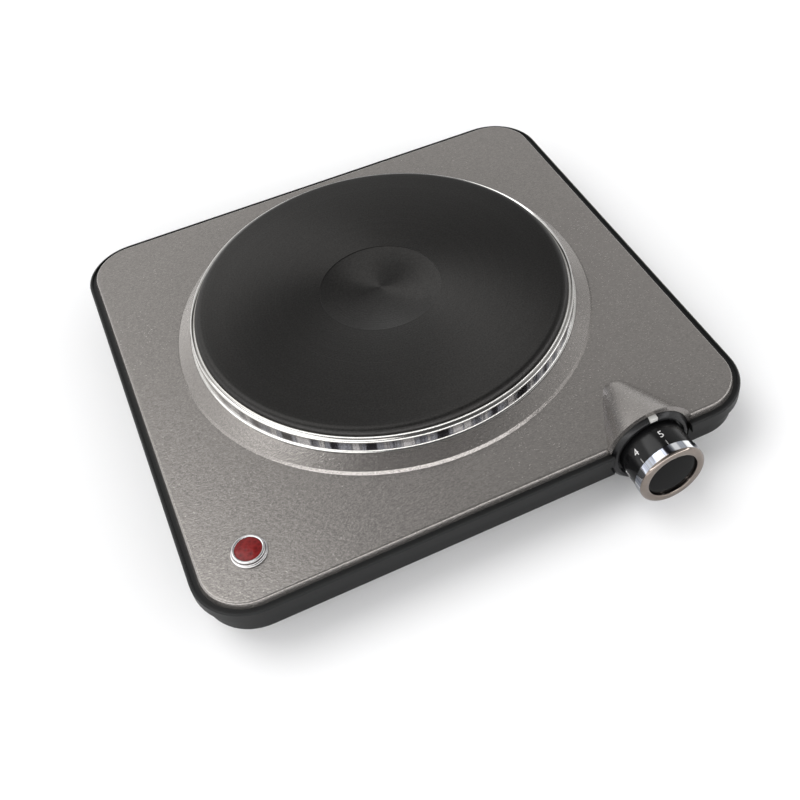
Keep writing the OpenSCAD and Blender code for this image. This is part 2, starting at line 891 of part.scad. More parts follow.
module contact_leaf() {
    gap = leaf_y - bimetal_y - blade_t;
    color("#c08a55")
    union() {
        translate([blade_x, leaf_y, knob_z - blade_w / 2])
            cube([blade_l, blade_t, blade_w]);
        translate([knob_x + 6, leaf_y, knob_z])
            rotate([90, 0, 0])
                cylinder(h = gap - eps, r = 1.5, $fn = fine);
        translate([blade_x, leaf_y - gap, knob_z - blade_w / 2])
            cube([2.5, gap, blade_w]);
    }
}

module thermostat_terminals() {
    color("#c9a24e")
    for (s = [-1, 1])
        translate([knob_x + s * stat_term_x - blade_tab_w / 2, blade_tab_y, stat_z + stat_wall])
            difference() {
                cube([blade_tab_w, blade_tab_l, blade_tab_t]);
                translate([blade_tab_w / 2, blade_tab_l - 2, -1])
                    cylinder(h = blade_tab_t + 2, r = 0.8, $fn = fine);
            }
}

module setting_pin() {
    pin_y = stat_y + 7.4;
    color("#f0ead8")
        axis_bar(bimetal_y - pin_gap, pin_y, pin_slide_r);
}

module spindle() {
    back_y = stat_y + 5.6;
    color("#c2a45a")
    difference() {
        axis_bar(back_y, spindle_front_y, spindle_r);
        translate([knob_x - spindle_r, spindle_front_y - 1, flat_z])
            cube([2 * spindle_r, spindle_in + 1, spindle_flat + 1]);
    }
}

module spindle_bush() {
    front_y = boss_y - bush_out;
    color("#c9a24e")
    difference() {
        union() {
            axis_bar(stat_y, front_y, bush_r);
            axis_bar(stat_y + bush_flange_t, stat_y, bush_flange_r);
        }
        axis_bar(stat_y + bush_flange_t + 1, front_y - 1, spindle_r + spindle_clear);
    }
}

module bush_nut() {
    color("#c9a24e")
    on_knob_axis(boss_y - collar_floor_t)
        hex_nut(bush_nut_af, bush_nut_t, bush_r + thread_gap);
}

module thermostat_screws() {
    color("#9a9da1")
    for (s = [-1, 1])
        translate([s * stat_screw_x, 0, 0])
            on_knob_axis(boss_in_y)
                difference() {
                    union() {
                        cylinder(h = stat_screw_head_t, r = stat_screw_head_r, $fn = fine);
                        translate([0, 0, -stat_screw_l + 1])
                            cylinder(h = stat_screw_l, r = stat_screw_r, $fn = fine);
                    }
                    translate([-stat_screw_head_r, -0.4, stat_screw_head_t / 2])
                        cube([2 * stat_screw_head_r, 0.8, stat_screw_head_t]);
                }
}

module bracket_screws() {
    color("#9a9da1")
    for (s = [-1, 1])
        translate([knob_x + s * bracket_screw_x, boss_in_y + bracket_screw_back, base_z - bracket_screw_head_t])
            screw_up(bracket_screw_r, base_wall + bracket_t, bracket_screw_head_r, bracket_screw_head_t);
}

// ---------- knob ----------

// Section of the collar: X is the radius, Y the distance in front of the boss.
module knob_collar_section() {
    r = knob_collar_r;
    polygon([
        [bush_r + fit_gap, 0], [r, 0], [r, knob_collar_len - 2 * collar_shoulder + 0.6],
        [r - 0.5, knob_collar_len - collar_shoulder + 0.2], [r - collar_shoulder, knob_collar_len],
        [collar_bore_r, knob_collar_len], [collar_bore_r, collar_floor_t], [bush_r + fit_gap, collar_floor_t]
    ]);
}

module marker_shape() {
    on_knob_axis(boss_y)
        translate([-marker_w / 2, knob_collar_r - collar_shoulder - 0.4, 0.4])
            cube([marker_w, collar_shoulder + 0.4, knob_collar_len]);
}

module knob_collar() {
    color("#1e1f21")
    difference() {
        on_knob_axis(boss_y)
            rotate_extrude()
                knob_collar_section();
        marker_shape();
    }
}

module index_marker() {
    color("#c8c8c4")
    intersection() {
        marker_shape();
        on_knob_axis(boss_y)
            rotate_extrude()
                knob_collar_section();
    }
}

// D-shaped bore for the spindle.
module knob_bore() {
    difference() {
        axis_bar(knob_back_y + hub_back, spindle_front_y - seat_gap, spindle_r + seat_gap / 2);
        translate([knob_x - 10, spindle_front_y - 1, flat_z + seat_gap / 2])
            cube([20, spindle_in + 1, 10]);
    }
}

module knob_body() {
    web_y = barrel_front_y + knob_web_t;
    color("#1c1d1f")
    difference() {
        union() {
            difference() {
                axis_bar(knob_back_y, barrel_front_y, knob_r);
                axis_bar(knob_back_y + 1, web_y, knob_r - knob_wall);
            }
            axis_bar(barrel_front_y + eps, barrel_front_y - spigot_len, spigot_r);
            axis_bar(boss_y - bush_out - seat_gap, web_y - eps, hub_r);
        }
        knob_bore();
        clip_space();
        axis_bar(barrel_front_y - spigot_len + 0.5, barrel_front_y - spigot_len - 1, cap_r + seat_gap);
    }
}

// The slot in the hub beside the spindle's flat, where the spring clip sits.
module clip_space() {
    translate([knob_x - clip_w / 2, spindle_front_y + clip_in - fit_gap, flat_z - eps])
        cube([clip_w, clip_l + 2 * fit_gap, clip_t + 2 * fit_gap]);
}

module knob_spring_clip() {
    color("#b9bcc0")
    translate([knob_x - clip_w / 2 + fit_gap, spindle_front_y + clip_in, flat_z])
        cube([clip_w - 2 * fit_gap, clip_l, clip_t]);
}

module knob_trim_ring() {
    r = knob_ring_r;
    l = knob_ring_len;
    lip_in = cap_r + fit_gap;
    color("#d8dade")
    on_knob_axis(barrel_front_y)
        rotate_extrude()
            polygon([
                [spigot_r + 0.02, 0], [r - 0.4, 0], [r, 0.4], [r, l - 2.2], [r - 0.5, l - 0.9],
                [r - 1.4, l - 0.2], [r - 2.4, l], [lip_in + 0.6, l - 0.3], [lip_in, l - 0.9],
                [lip_in, spigot_len + 0.02], [spigot_r + 0.02, spigot_len + 0.02]
            ]);
}

module knob_cap() {
    color("#141516")
    on_knob_axis(barrel_front_y - spigot_len + 0.5)
        union() {
            cylinder(h = cap_t, r = cap_r);
            cylinder(h = knob_ring_len - spigot_len + 0.5 - cap_depth, r = cap_r - 0.8);
        }
}

// ---------- pilot lamp ----------

module lamp_bezel() {
    ring_r = lamp_tube_r + 0.6;
    h = lamp_ring_h;
    color("#d8dade")
    translate([lamp_x, lamp_y, 0])
        rotate_extrude()
            polygon([
                [lens_r, under_z - lamp_tube_drop], [lamp_tube_r, under_z - lamp_tube_drop],
                [lamp_tube_r, top_z], [lamp_flange_d / 2, top_z], [lamp_flange_d / 2, top_z + 0.3],
                [lamp_flange_d / 2 - 0.5, top_z + lamp_flange_t], [ring_r + 0.3, top_z + lamp_flange_t],
                [ring_r, top_z + h - 0.5], [ring_r - 0.4, top_z + h], [lens_r + 0.3, top_z + h],
                [lens_r, top_z + h - 0.4]
            ]);
}

module lamp_lens() {
    dome_h = 0.8;
    dome_r = (lens_r * lens_r + dome_h * dome_h) / (2 * dome_h);
    crown_z = top_z + lamp_ring_h + 0.3;
    cup_z = top_z - 4;
    wall = 1;
    color("#8b2a2a")
    translate([lamp_x, lamp_y, 0])
        rotate_extrude()
            difference() {
                intersection() {
                    translate([0, crown_z - dome_r])
                        circle(r = dome_r, $fn = 256);
                    translate([0, cup_z])
                        square([lens_r, 20]);
                }
                translate([-1, cup_z - 1])
                    square([lens_r - wall + 1, 5]);
            }
}

module lamp_holder() {
    h = top_z - 4 - lamp_holder_bottom_z;
    color("#e9e4d6")
    translate([lamp_x, lamp_y, lamp_holder_bottom_z])
        difference() {
            cylinder(h = h, r = lamp_holder_r, $fn = fine);
            translate([0, 0, h - bulb_l + 2])
                cylinder(h = bulb_l, r = bulb_r, $fn = fine);
            for (s = [-1, 1])
                translate([s * 3, 0, -1])
                    cylinder(h = 4, r = 1.3, $fn = fine);
        }
}

module neon_bulb() {
    z = top_z - 4 - bulb_l + 2;
    color("#f2b48a")
    translate([lamp_x, lamp_y, z]) {
        cylinder(h = bulb_l - bulb_r, r = bulb_r, $fn = fine);
        translate([0, 0, bulb_l - bulb_r])
            intersection() {
                sphere(r = bulb_r, $fn = fine);
                translate([-5, -5, -eps])
                    cube([10, 10, 10]);
            }
    }
}

module lamp_spring_nut() {
    color("#9a9da1")
    translate([lamp_x, lamp_y, under_z - lamp_clip_t])
        difference() {
            cylinder(h = lamp_clip_t, r = lamp_clip_r, $fn = fine);
            translate([0, 0, -1])
                cylinder(h = lamp_clip_t + 2, r = lamp_tube_r, $fn = fine);
            for (a = [0:60:300])
                rotate([0, 0, a])
                    translate([lamp_tube_r - 0.5, -0.5, -1])
                        cube([2, 1, 4]);
        }
}

// ---------- mains side ----------

module terminal_block() {
    color("#e9e4d6")
    difference() {
        translate([block_x - block_w / 2, block_y - block_d / 2, floor_z])
            cube([block_w, block_d, block_h]);
        for (i = [-1:1]) {
            translate([block_x + i * block_pitch, block_y - block_d, floor_z + block_h / 2])
                rotate([-90, 0, 0])
                    cylinder(h = 2 * block_d, r = block_bore_r, $fn = fine);
            translate([block_x + i * block_pitch, block_y, floor_z + block_h / 2 + block_bore_r + 0.2])
                cylinder(h = block_h, r = block_screw_r + thread_gap, $fn = fine);
        }
    }
}

module terminal_screws() {
    color("#c9a24e")
    for (i = [-1:1])
        translate([block_x + i * block_pitch, block_y, floor_z + block_h - block_screw_l + 0.8])
            difference() {
                cylinder(h = block_screw_l - 1, r = block_screw_r, $fn = fine);
                translate([-block_screw_r, -0.3, block_screw_l - 1.8])
                    cube([2 * block_screw_r, 0.6, 2]);
            }
}

module cord_gland() {
    out_l = base_back_y + gland_reach - gland_wall_y;
    in_l = gland_wall_t + gland_nut_t + 1.5;
    color("#1e1f21")
    translate([gland_x, gland_wall_y, gland_z])
        rotate([-90, 0, 0])
            difference() {
                union() {
                    cylinder(h = out_l - 1, r = gland_r, $fn = fine);
                    translate([0, 0, out_l - 1 - eps])
                        cylinder(h = 1 + eps, r1 = gland_r, r2 = gland_r - 0.6, $fn = fine);
                    translate([0, 0, -in_l])
                        cylinder(h = in_l + eps, r = gland_r, $fn = fine);
                }
                translate([0, 0, -in_l - 1])
                    cylinder(h = in_l + out_l + 2, r = gland_bore_d / 2, $fn = fine);
            }
}

module gland_nut() {
    color("#2a2b2d")
    translate([gland_x, gland_wall_y - gland_wall_t, gland_z])
        rotate([90, 0, 0])
            difference() {
                cylinder(h = gland_nut_t, r = gland_nut_r, $fn = fine);
                translate([0, 0, -1])
                    cylinder(h = gland_nut_t + 2, r = gland_r + thread_gap, $fn = fine);
            }
}

// ---------- leads inside the base ----------

// Points of a lead that leaves the terminal block straight.
function from_block(x) = [
    [x, block_front_y + lead_in, block_bore_z],
    [x, block_front_y - lead_out, block_bore_z],
    [x, block_front_y - 2.5 * lead_out, block_bore_z]
];

// Points of a lead that comes straight in to one of the thermostat's tabs.
function to_tab(x) = [
    [x, stat_tab_y + 3 * lead_out, stat_tab_z],
    [x, stat_tab_y + lead_out, stat_tab_z],
    [x, stat_tab_y, stat_tab_z]
];

// Points of a lead that comes straight up to one of the element's pins.
function to_pin(x, side) = [
    [x + side * 3, term_y - 2, pin_end_z - 2 * lead_out],
    [x, term_y, pin_end_z - lead_out],
    [x, term_y, pin_end_z - lead_out / 2],
    [x, term_y, pin_end_z]
];

module live_lead() {
    color("#8a4a2a")
    lead(concat(
        from_block(block_x + block_pitch),
        [
            [side_x - 6, 60, lead_low_z],
            [side_x, 20, lead_low_z],
            [side_x - 2, -30, lead_low_z],
            [knob_x + stat_term_x + 6, stat_tab_y + 32, lead_low_z]
        ],
        to_tab(knob_x + stat_term_x)
    ), lead_d);
}

module switched_lead() {
    color("#b33a2a")
    lead(concat(
        [for (i = [3:-1:0]) to_pin(pin_x, 1)[i]],
        [
            [22, 22, lead_low_z],
            [40, -30, lead_low_z],
            [knob_x - 18, stat_tab_y + 30, lead_low_z]
        ],
        to_tab(knob_x - stat_term_x)
    ), lead_d);
}

module neutral_lead() {
    color("#2f5fa8")
    lead(concat(
        from_block(block_x),
        [
            [24, term_y + 20, lead_low_z],
            [-2, term_y + 8, lead_low_z]
        ],
        to_pin(-pin_x, -1)
    ), lead_d);
}

module lamp_leads() {
    d = 1.6;
    z = lamp_holder_bottom_z;
    low = floor_z + 2;
    color("#3a3c40") {
        lead([
            [lamp_x + 3, lamp_y, z + 2.5],
            [lamp_x + 3, lamp_y, z],
            [lamp_x + 3.5, lamp_y + 2, low + 1],
            [lamp_x + 2, lamp_y + 14, low],
            [lamp_x + 2, -55, low],
            [-84, -20, low],
            [-46, 22, low],
            [-pin_x - 12, term_y - 6, lead_low_z],
            [-pin_x - 4, term_y - 2, pin_end_z - 1],
            [-pin_x - 1.2 - d, term_y - 1, pin_end_z + 2]
        ], d);
        lead([
            [lamp_x - 3, lamp_y, z + 2.5],
            [lamp_x - 3, lamp_y, z],
            [lamp_x - 2.5, lamp_y - 2, low + 1],
            [lamp_x + 6, lamp_y - 9, low],
            [-70, lamp_y - 12, low],
            [20, lamp_y - 6, low],
            [knob_x - stat_term_x - 12, stat_tab_y + 6, stat_tab_z],
            [knob_x - stat_term_x - 5, stat_tab_y + 2, stat_tab_z],
            [knob_x - stat_term_x - 2.4 - d / 2, stat_tab_y - 3, stat_tab_z]
        ], d);
    }
}

module earth_lead() {
    run_z = bar_z - lead_d / 2 - 2 * fit_gap;
    end_y = plate_y + cover_screw_head_r + thread_gap;
    color("#7da13a")
    lead(concat(
        from_block(block_x - block_pitch),
        [
            [0, 70, lead_low_z],
            [-34, 50, lead_low_z],
            [earth_x + 3, end_y + 18, lead_low_z + 3],
            [earth_x, end_y + 10, run_z - 2],
            [earth_x, end_y + lead_out, run_z],
            [earth_x, end_y + lead_out / 2, run_z],
            [earth_x, end_y, run_z]
        ]
    ), lead_d);
}

module earth_screw() {
    color("#c9a24e")
    translate([earth_x, plate_y, bar_z - cover_screw_head_t])
        screw_up(cover_screw_r, bar_t, cover_screw_head_r, cover_screw_head_t);
}

// ---------- feet and screws under the base ----------

module rubber_feet() {
    r = foot_d / 2;
    color("#1a1a1b")
    at_corners(base_w / 2 - foot_inset, base_d / 2 - foot_inset)
        rotate_extrude()
            polygon([
                [foot_screw_head_r + 0.6, 0], [r - 1.8, 0], [r - 0.8, 1], [r, base_z],
                [foot_screw_r + fit_gap, base_z], [foot_screw_r + fit_gap, foot_pocket + foot_screw_head_t],
                [foot_screw_head_r + 0.6, foot_pocket + foot_screw_head_t]
            ]);
}

module foot_screws() {
    color("#9a9da1")
    at_corners(base_w / 2 - foot_inset, base_d / 2 - foot_inset)
        translate([0, 0, foot_pocket])
            screw_up(foot_screw_r, base_z - foot_pocket - foot_screw_head_t + base_wall + foot_boss_h - 1,
                foot_screw_head_r, foot_screw_head_t);
}

module cover_screws() {
    color("#9a9da1")
    at_corners(post_x, post_dy)
        translate([0, 0, base_z - cover_screw_head_t])
            screw_up(cover_screw_r, base_wall + cover_screw_l - 2, cover_screw_head_r, cover_screw_head_t);
}

base_pan();
top_cover();
cover_posts();
heating_plate();
trim_ring();
heating_coil();
insulating_cement();
element_cover();
element_terminal();
terminal_pins();
centre_stud();
clamp_bar();
centre_washer();
centre_nut();
heat_shield();
thermal_fuse();
fuse_clip();
thermostat_bracket();
thermostat_body();
bimetal_strip();
contact_leaf();
thermostat_terminals();
setting_pin();
spindle();
spindle_bush();
bush_nut();
thermostat_screws();
bracket_screws();
knob_collar();
index_marker();
knob_body();
knob_trim_ring();
knob_cap();
knob_spring_clip();
lamp_bezel();
lamp_lens();
neon_bulb();
lamp_holder();
lamp_spring_nut();
terminal_block();
terminal_screws();
cord_gland();
gland_nut();
live_lead();
switched_lead();
neutral_lead();
lamp_leads();
earth_lead();
earth_screw();
rubber_feet();
foot_screws();
cover_screws();
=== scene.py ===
"""Looks of a single-ring electric hot plate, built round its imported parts.

The file is laid out as an add-on: sizes and colours are properties, each group
of pieces has its own operator, and a panel in the sidebar lists them.
"""
import math

import bmesh
import bpy
from mathutils import Matrix, Vector


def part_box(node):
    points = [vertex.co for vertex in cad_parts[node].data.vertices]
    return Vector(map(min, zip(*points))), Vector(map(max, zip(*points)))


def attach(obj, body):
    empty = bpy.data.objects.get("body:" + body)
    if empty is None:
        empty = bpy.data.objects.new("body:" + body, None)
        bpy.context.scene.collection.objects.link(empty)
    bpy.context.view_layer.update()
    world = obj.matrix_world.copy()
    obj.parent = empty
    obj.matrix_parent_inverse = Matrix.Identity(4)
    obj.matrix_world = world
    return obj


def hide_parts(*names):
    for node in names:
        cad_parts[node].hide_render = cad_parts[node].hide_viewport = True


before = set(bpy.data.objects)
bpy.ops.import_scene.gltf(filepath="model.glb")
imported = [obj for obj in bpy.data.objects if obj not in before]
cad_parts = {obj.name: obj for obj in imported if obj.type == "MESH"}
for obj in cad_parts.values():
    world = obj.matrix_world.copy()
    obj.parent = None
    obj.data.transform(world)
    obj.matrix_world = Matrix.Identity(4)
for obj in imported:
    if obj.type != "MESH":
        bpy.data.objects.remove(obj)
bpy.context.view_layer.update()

bl_info = {
    "name": "Hot plate looks",
    "version": (1, 0, 0),
    "blender": (4, 5, 0),
    "location": "3D View > Sidebar > Hot plate",
    "description": "Pieces, finishes and studio for a single-ring electric hot plate",
    "category": "Object",
}

MM = 0.001
SMOOTH_ANGLE = math.radians(32)  # sharper edges than this stay creased
FORWARD = (0, -1, 0)  # the way the knob points
PRINT_LIFT = 0.025 * MM  # keeps the dial's print just clear of the barrel
BEZEL_PROUD = 2.7 * MM  # how far the lamp's bezel stands over the cover

# where the camera stands, which way it looks and how wide it sees
CAMERA_PLACE = Vector((-104.428, -369.344, 410.689)) * MM
CAMERA_AZIMUTH, CAMERA_ELEVATION, CAMERA_ROLL = (math.radians(a) for a in (-20.463, 45.977, -6.217))
CAMERA_LENS = 49.01445
CAMERA_SENSOR = 36
CAMERA_SHIFT = -0.075

# where the key light comes from, how strong it is and how wide
SUN_FROM, SUN_STRENGTH, SUN_SPREAD = (-0.32, 0.32, 0.89), 1.15, math.radians(44)
SKY_STRENGTH = 1.1
STRIP_COLOUR = (5.0, 5.0, 5.1)


# ---------- places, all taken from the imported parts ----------

def middle(node):
    low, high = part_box(node)
    return (low + high) / 2


def top_of(node):
    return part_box(node)[1].z


def half_width(node):
    low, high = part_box(node)
    return (high.x - low.x) / 2


PLATE = middle("heating_plate")
PLATE_TOP = top_of("heating_plate")
PLATE_R = half_width("heating_plate")
KNOB = middle("knob_body")
LAMP = middle("lamp_lens")
COVER_TOP = top_of("lamp_bezel") - BEZEL_PROUD


# ---------- shader writing ----------

class Wire:
    """An output socket, so that sums and products are written as expressions."""

    def __init__(self, finish, socket):
        self.finish = finish
        self.socket = socket

    def maths(self, operation, first, second):
        return self.finish.node("ShaderNodeMath", {"operation": operation}, {0: first, 1: second})

    def __add__(self, other):
        return self.maths("ADD", self, other)

    __radd__ = __add__

    def __sub__(self, other):
        return self.maths("SUBTRACT", self, other)

    def __rsub__(self, other):
        return self.maths("SUBTRACT", other, self)

    def __mul__(self, other):
        return self.maths("MULTIPLY", self, other)

    __rmul__ = __mul__

    def __gt__(self, other):
        return self.maths("GREATER_THAN", self, other)


class Nodes:
    """A node tree whose nodes are added one call at a time."""

    def __init__(self, tree):
        self.tree = tree

    def node(self, kind, settings=None, values=None, out=0):
        """Adds a node: its settings first, then the values or links of its sockets."""
        made = self.tree.nodes.new(kind)
        for setting, value in (settings or {}).items():
            if setting == "stops":
                ramp = made.color_ramp
                while len(ramp.elements) < len(value):
                    ramp.elements.new(1.0)
                for element, (place, colour) in zip(ramp.elements, value):
                    element.position = place
                    element.color = (*colour, 1.0) if len(colour) == 3 else colour
            else:
                setattr(made, setting, value)
        for socket, value in (values or {}).items():
            if isinstance(value, Wire):
                self.tree.links.new(value.socket, made.inputs[socket])
            else:
                made.inputs[socket].default_value = value
        return Wire(self, made.outputs[out])

    def parts(self, vector):
        """A vector's X, Y and Z."""
        split = self.node("ShaderNodeSeparateXYZ", None, {0: vector})
        outputs = split.socket.node.outputs
        return [Wire(self, outputs[i]) for i in range(3)]

    def noise(self, vector, scale, detail=2.0, roughness=0.5):
        return self.node("ShaderNodeTexNoise", None,
                         {"Vector": vector, "Scale": scale, "Detail": detail, "Roughness": roughness})

    def noise_along(self, w, scale, detail=2.0, roughness=0.6):
        return self.node("ShaderNodeTexNoise", {"noise_dimensions": "1D"},
                         {"W": w, "Scale": scale, "Detail": detail, "Roughness": roughness})

    def ramp(self, factor, stops):
        return self.node("ShaderNodeValToRGB", {"stops": stops}, {0: factor})

    def mix(self, factor, first, second, blend="MIX"):
        return self.node("ShaderNodeMix", {"data_type": "RGBA", "blend_type": blend},
                         {0: factor, 6: rgba(first), 7: rgba(second)}, out=2)

    def spread(self, factor, low, high):
        """Stretches a factor from 0..1 to low..high."""
        return factor * (high - low) + low

    def bump(self, height, distance, strength=1.0, under=None):
        values = {"Height": height, "Distance": distance, "Strength": strength}
        if under:
            values["Normal"] = under
        return self.node("ShaderNodeBump", None, values)


class Finish(Nodes):
    """A material: its constants on the shader's own sockets, the rest fed by nodes."""

    def __init__(self, name, **constants):
        self.material = bpy.data.materials.new(name)
        self.material.use_nodes = True
        super().__init__(self.material.node_tree)
        self.shader = self.tree.nodes["Principled BSDF"]
        for socket, value in constants.items():
            self.shader.inputs[socket.replace("_", " ")].default_value = value

    def feed(self, socket, wire):
        """Links a varying value to one of the shader's sockets."""
        self.tree.links.new(wire.socket, self.shader.inputs[socket])

    def place(self, centre=(0, 0, 0), scale=(1, 1, 1), turn=(0, 0, 0)):
        """Object coordinates in metres, moved to a centre, turned and then scaled."""
        here = self.node("ShaderNodeTexCoord", out="Object")
        moved = self.node("ShaderNodeVectorMath", {"operation": "SUBTRACT"}, {0: here, 1: tuple(centre)})
        return self.node("ShaderNodeMapping", None, {"Vector": moved, "Rotation": turn, "Scale": scale})


def rgba(colour):
    """A colour with its fourth value, or a wire as it is."""
    if isinstance(colour, Wire):
        return colour
    return (*colour, 1.0) if len(colour) == 3 else tuple(colour)


def shade(colour, level):
    """A colour made darker or lighter, kept within 0..1."""
    return [min(1, c * level) for c in colour]


# ---------- finishes ----------

def cover_steel(colour):
    """Rolled stainless sheet with a fine wrinkled grain and a faint cloudiness."""
    f = Finish("cover_steel", Metallic=0.8)
    grain = f.noise(f.place(scale=(1.0, 1.5, 1.0), turn=(0, 0, math.radians(38))), 1050.0, 3.0, 0.62)
    wrinkle = f.noise(f.place(scale=(1.0, 2.2, 1.0), turn=(0, 0, math.radians(52))), 620.0, 2.0, 0.5)
    cloud = f.noise(f.place(), 14.0, 2.0, 0.5)
    grained = f.mix(f.spread(grain, -0.8, 1.8), shade(colour, 0.8), shade(colour, 1.2))
    f.feed("Base Color", f.mix(cloud * 0.2, grained, shade(colour, 0.9)))
    f.feed("Roughness", f.spread(grain, 0.18, 0.28) + cloud * 0.04)
    fine = f.bump(grain, 0.00006, 0.5)
    f.feed("Normal", f.bump(wrinkle, 0.00015, 0.5, fine))
    return f.material


def turned_iron(colour):
    """Blackened cast iron, turned on its face: fine rings over a cast grain."""
    f = Finish("turned_iron", Metallic=1.0, Anisotropic=0.85)
    here = f.place(centre=(PLATE.x, PLATE.y, 0))
    flat = f.node("ShaderNodeVectorMath", {"operation": "MULTIPLY"}, {0: here, 1: (1, 1, 0)})
    radius = f.node("ShaderNodeVectorMath", {"operation": "LENGTH"}, {0: flat}, out="Value")
    rings = f.noise_along(radius, 1400.0, 3.0, 0.7)
    broad = f.noise_along(radius, 160.0, 2.0, 0.5)
    grain = f.noise(here, 1300.0, 3.0, 0.7)
    grained = f.mix(f.spread(grain, -0.4, 1.4), shade(colour, 0.55), shade(colour, 1.5))
    ringed = f.mix(f.spread(rings, -0.2, 1.0) * 0.4, grained, shade(colour, 1.5))
    f.feed("Base Color", f.mix(broad * 0.3, ringed, shade(colour, 0.8)))
    f.feed("Roughness", f.spread(grain, 0.34, 0.46) + broad * 0.06)
    turned = f.bump(rings, 0.00006, 0.6)
    f.feed("Normal", f.bump(grain, 0.00007, 0.5, turned))
    return f.material


def streaked_chrome(name, centre, axis, count, band=None, lip=None):
    """Polished chrome with painted reflections: blocks of light and dark across its front half.

    A band gives the heights between which an upright ring gets the painted reflections;
    a lip is the distance forward past which a knob's ring is plain and darker.
    """
    f = Finish(name, Metallic=1.0)
    x, y, z = f.parts(f.place(centre=centre))
    across, along, front = (x, y, y) if axis == "Z" else (x, z, z * -1)
    angle = f.node("ShaderNodeMath", {"operation": "ARCTAN2"}, {0: across, 1: along})
    coarse = f.noise_along(angle, count, 0.0, 0.5)
    fine = f.noise_along(angle, count * 5, 1.0, 0.6)
    # painted reflection: light and dark blocks round the angle stand in for the studio seen in the chrome
    painted_reflection = f.ramp(coarse * 0.75 + fine * 0.25, [
        (0.0, (0.03, 0.03, 0.035)), (0.36, (0.05, 0.05, 0.06)), (0.4, (0.2, 0.21, 0.24)),
        (0.46, (0.34, 0.36, 0.42)), (0.5, (0.5, 0.53, 0.6)), (0.54, (0.3, 0.31, 0.33)),
        (0.6, (0.92, 0.93, 0.96)),
    ])
    haze = f.noise(f.place(), 400.0, 2.0, 0.5)
    plain = f.mix(haze, (0.5, 0.49, 0.47), (0.66, 0.65, 0.63))
    if lip is None:
        low, high = band
        fade, start = 14, 0.1
        # the painted reflections fade out towards the back and stay between the band's heights
        painted_reflection_mask = (front * -fade - start) * (z > low * MM) * (1 - (z > high * MM))
        f.feed("Base Color", f.mix(painted_reflection_mask, plain, painted_reflection))
    else:
        dull = f.mix(haze, (0.2, 0.17, 0.15), (0.27, 0.235, 0.21))
        # the knob's ring gets the painted reflections all round, except on its lip
        f.feed("Base Color", f.mix((y * -1) > lip, painted_reflection, dull))
    f.feed("Roughness", f.spread(fine, 0.05, 0.13))
    return f.material


def plain_chrome(name, colour, rough=0.08):
    """Polished chrome with a faint haze."""
    f = Finish(name, Metallic=1.0)
    haze = f.noise(f.place(), 900.0, 3.0, 0.6)
    f.feed("Base Color", f.mix(haze, shade(colour, 0.93), colour))
    f.feed("Roughness", f.spread(haze, rough * 0.6, rough * 1.6))
    return f.material


def moulded(name, colour, rough=0.4, grain_mm=0.35, depth=0.00003, specular=0.5):
    """Moulded plastic or rubber with a fine eroded grain."""
    f = Finish(name, Specular_IOR_Level=specular)
    grain = f.noise(f.place(), 1.0 / (grain_mm * MM), 2.0, 0.6)
    cloud = f.noise(f.place(), 45.0, 2.0, 0.5)
    f.feed("Base Color", f.mix(cloud, shade(colour, 0.85), shade(colour, 1.2)))
    f.feed("Roughness", f.spread(grain, rough * 0.85, rough * 1.15))
    f.feed("Normal", f.bump(grain, depth, 0.5))
    return f.material


def sheet_metal(name, colour, rough, stretch=(1, 1, 1)):
    """Plain worked metal: drawn marks and small spots of tarnish."""
    f = Finish(name, Metallic=1.0)
    drawn = f.noise(f.place(scale=[s * 1200 for s in stretch]), 1.0, 3.0, 0.6)
    spots = f.noise(f.place(), 160.0, 3.0, 0.55)
    f.feed("Base Color", f.mix(spots, shade(colour, 0.78), colour))
    f.feed("Roughness", f.spread(drawn, rough * 0.7, rough * 1.3))
    f.feed("Normal", f.bump(drawn, 0.00002, 0.4))
    return f.material


def fired_clay(name, colour, rough):
    """Steatite or cement: pale, gritty, with pores."""
    f = Finish(name)
    grit = f.noise(f.place(), 1400.0, 4.0, 0.7)
    pores = f.node("ShaderNodeTexVoronoi", None, {"Vector": f.place(), "Scale": 600.0})
    f.feed("Base Color", f.mix(grit, shade(colour, 0.82), colour))
    f.feed("Roughness", f.spread(grit, rough * 0.9, rough * 1.2))
    f.feed("Normal", f.bump(pores, 0.00005, 0.3))
    return f.material


def ruby_lens(colour):
    """Clear red plastic over a moulded pattern of small prisms, with the facets' light and dark painted into
    its colour.
    """
    f = Finish("ruby_lens", Coat_Weight=0.1, Coat_Roughness=0.03, IOR=1.25)
    prisms = f.node("ShaderNodeTexVoronoi", {"feature": "F1", "distance": "MANHATTAN"},
                    {"Vector": f.place(centre=LAMP, turn=(0, 0, 0.6)), "Scale": 520.0})
    deep = f.noise(f.place(), 260.0, 2.0, 0.5)
    # painted facet light: each prism is darker in its middle and lighter towards its edges
    f.feed("Base Color", f.mix(prisms, shade(colour, 0.55), shade(colour, 1.25)))
    f.feed("Roughness", f.spread(deep, 0.12, 0.3))
    f.feed("Normal", f.bump(prisms, 0.0003, 0.25))
    return f.material


def neon_glass():
    """Thin clear glass with a warm tint from the gas inside."""
    f = Finish("neon_glass", Roughness=0.05, Alpha=0.45)
    glow = f.noise(f.place(), 300.0, 2.0, 0.5)
    f.feed("Base Color", f.mix(glow, (0.95, 0.75, 0.6), (0.9, 0.5, 0.3)))
    return f.material


def pale_floor(colour):
    """Plain matt floor, very faintly clouded."""
    f = Finish("pale_floor", Roughness=0.9, Specular_IOR_Level=0.0)
    cloud = f.noise(f.place(), 3.0, 2.0, 0.5)
    f.feed("Base Color", f.mix(cloud, colour, shade(colour, 0.995)))
    return f.material


# ---------- modelling ----------

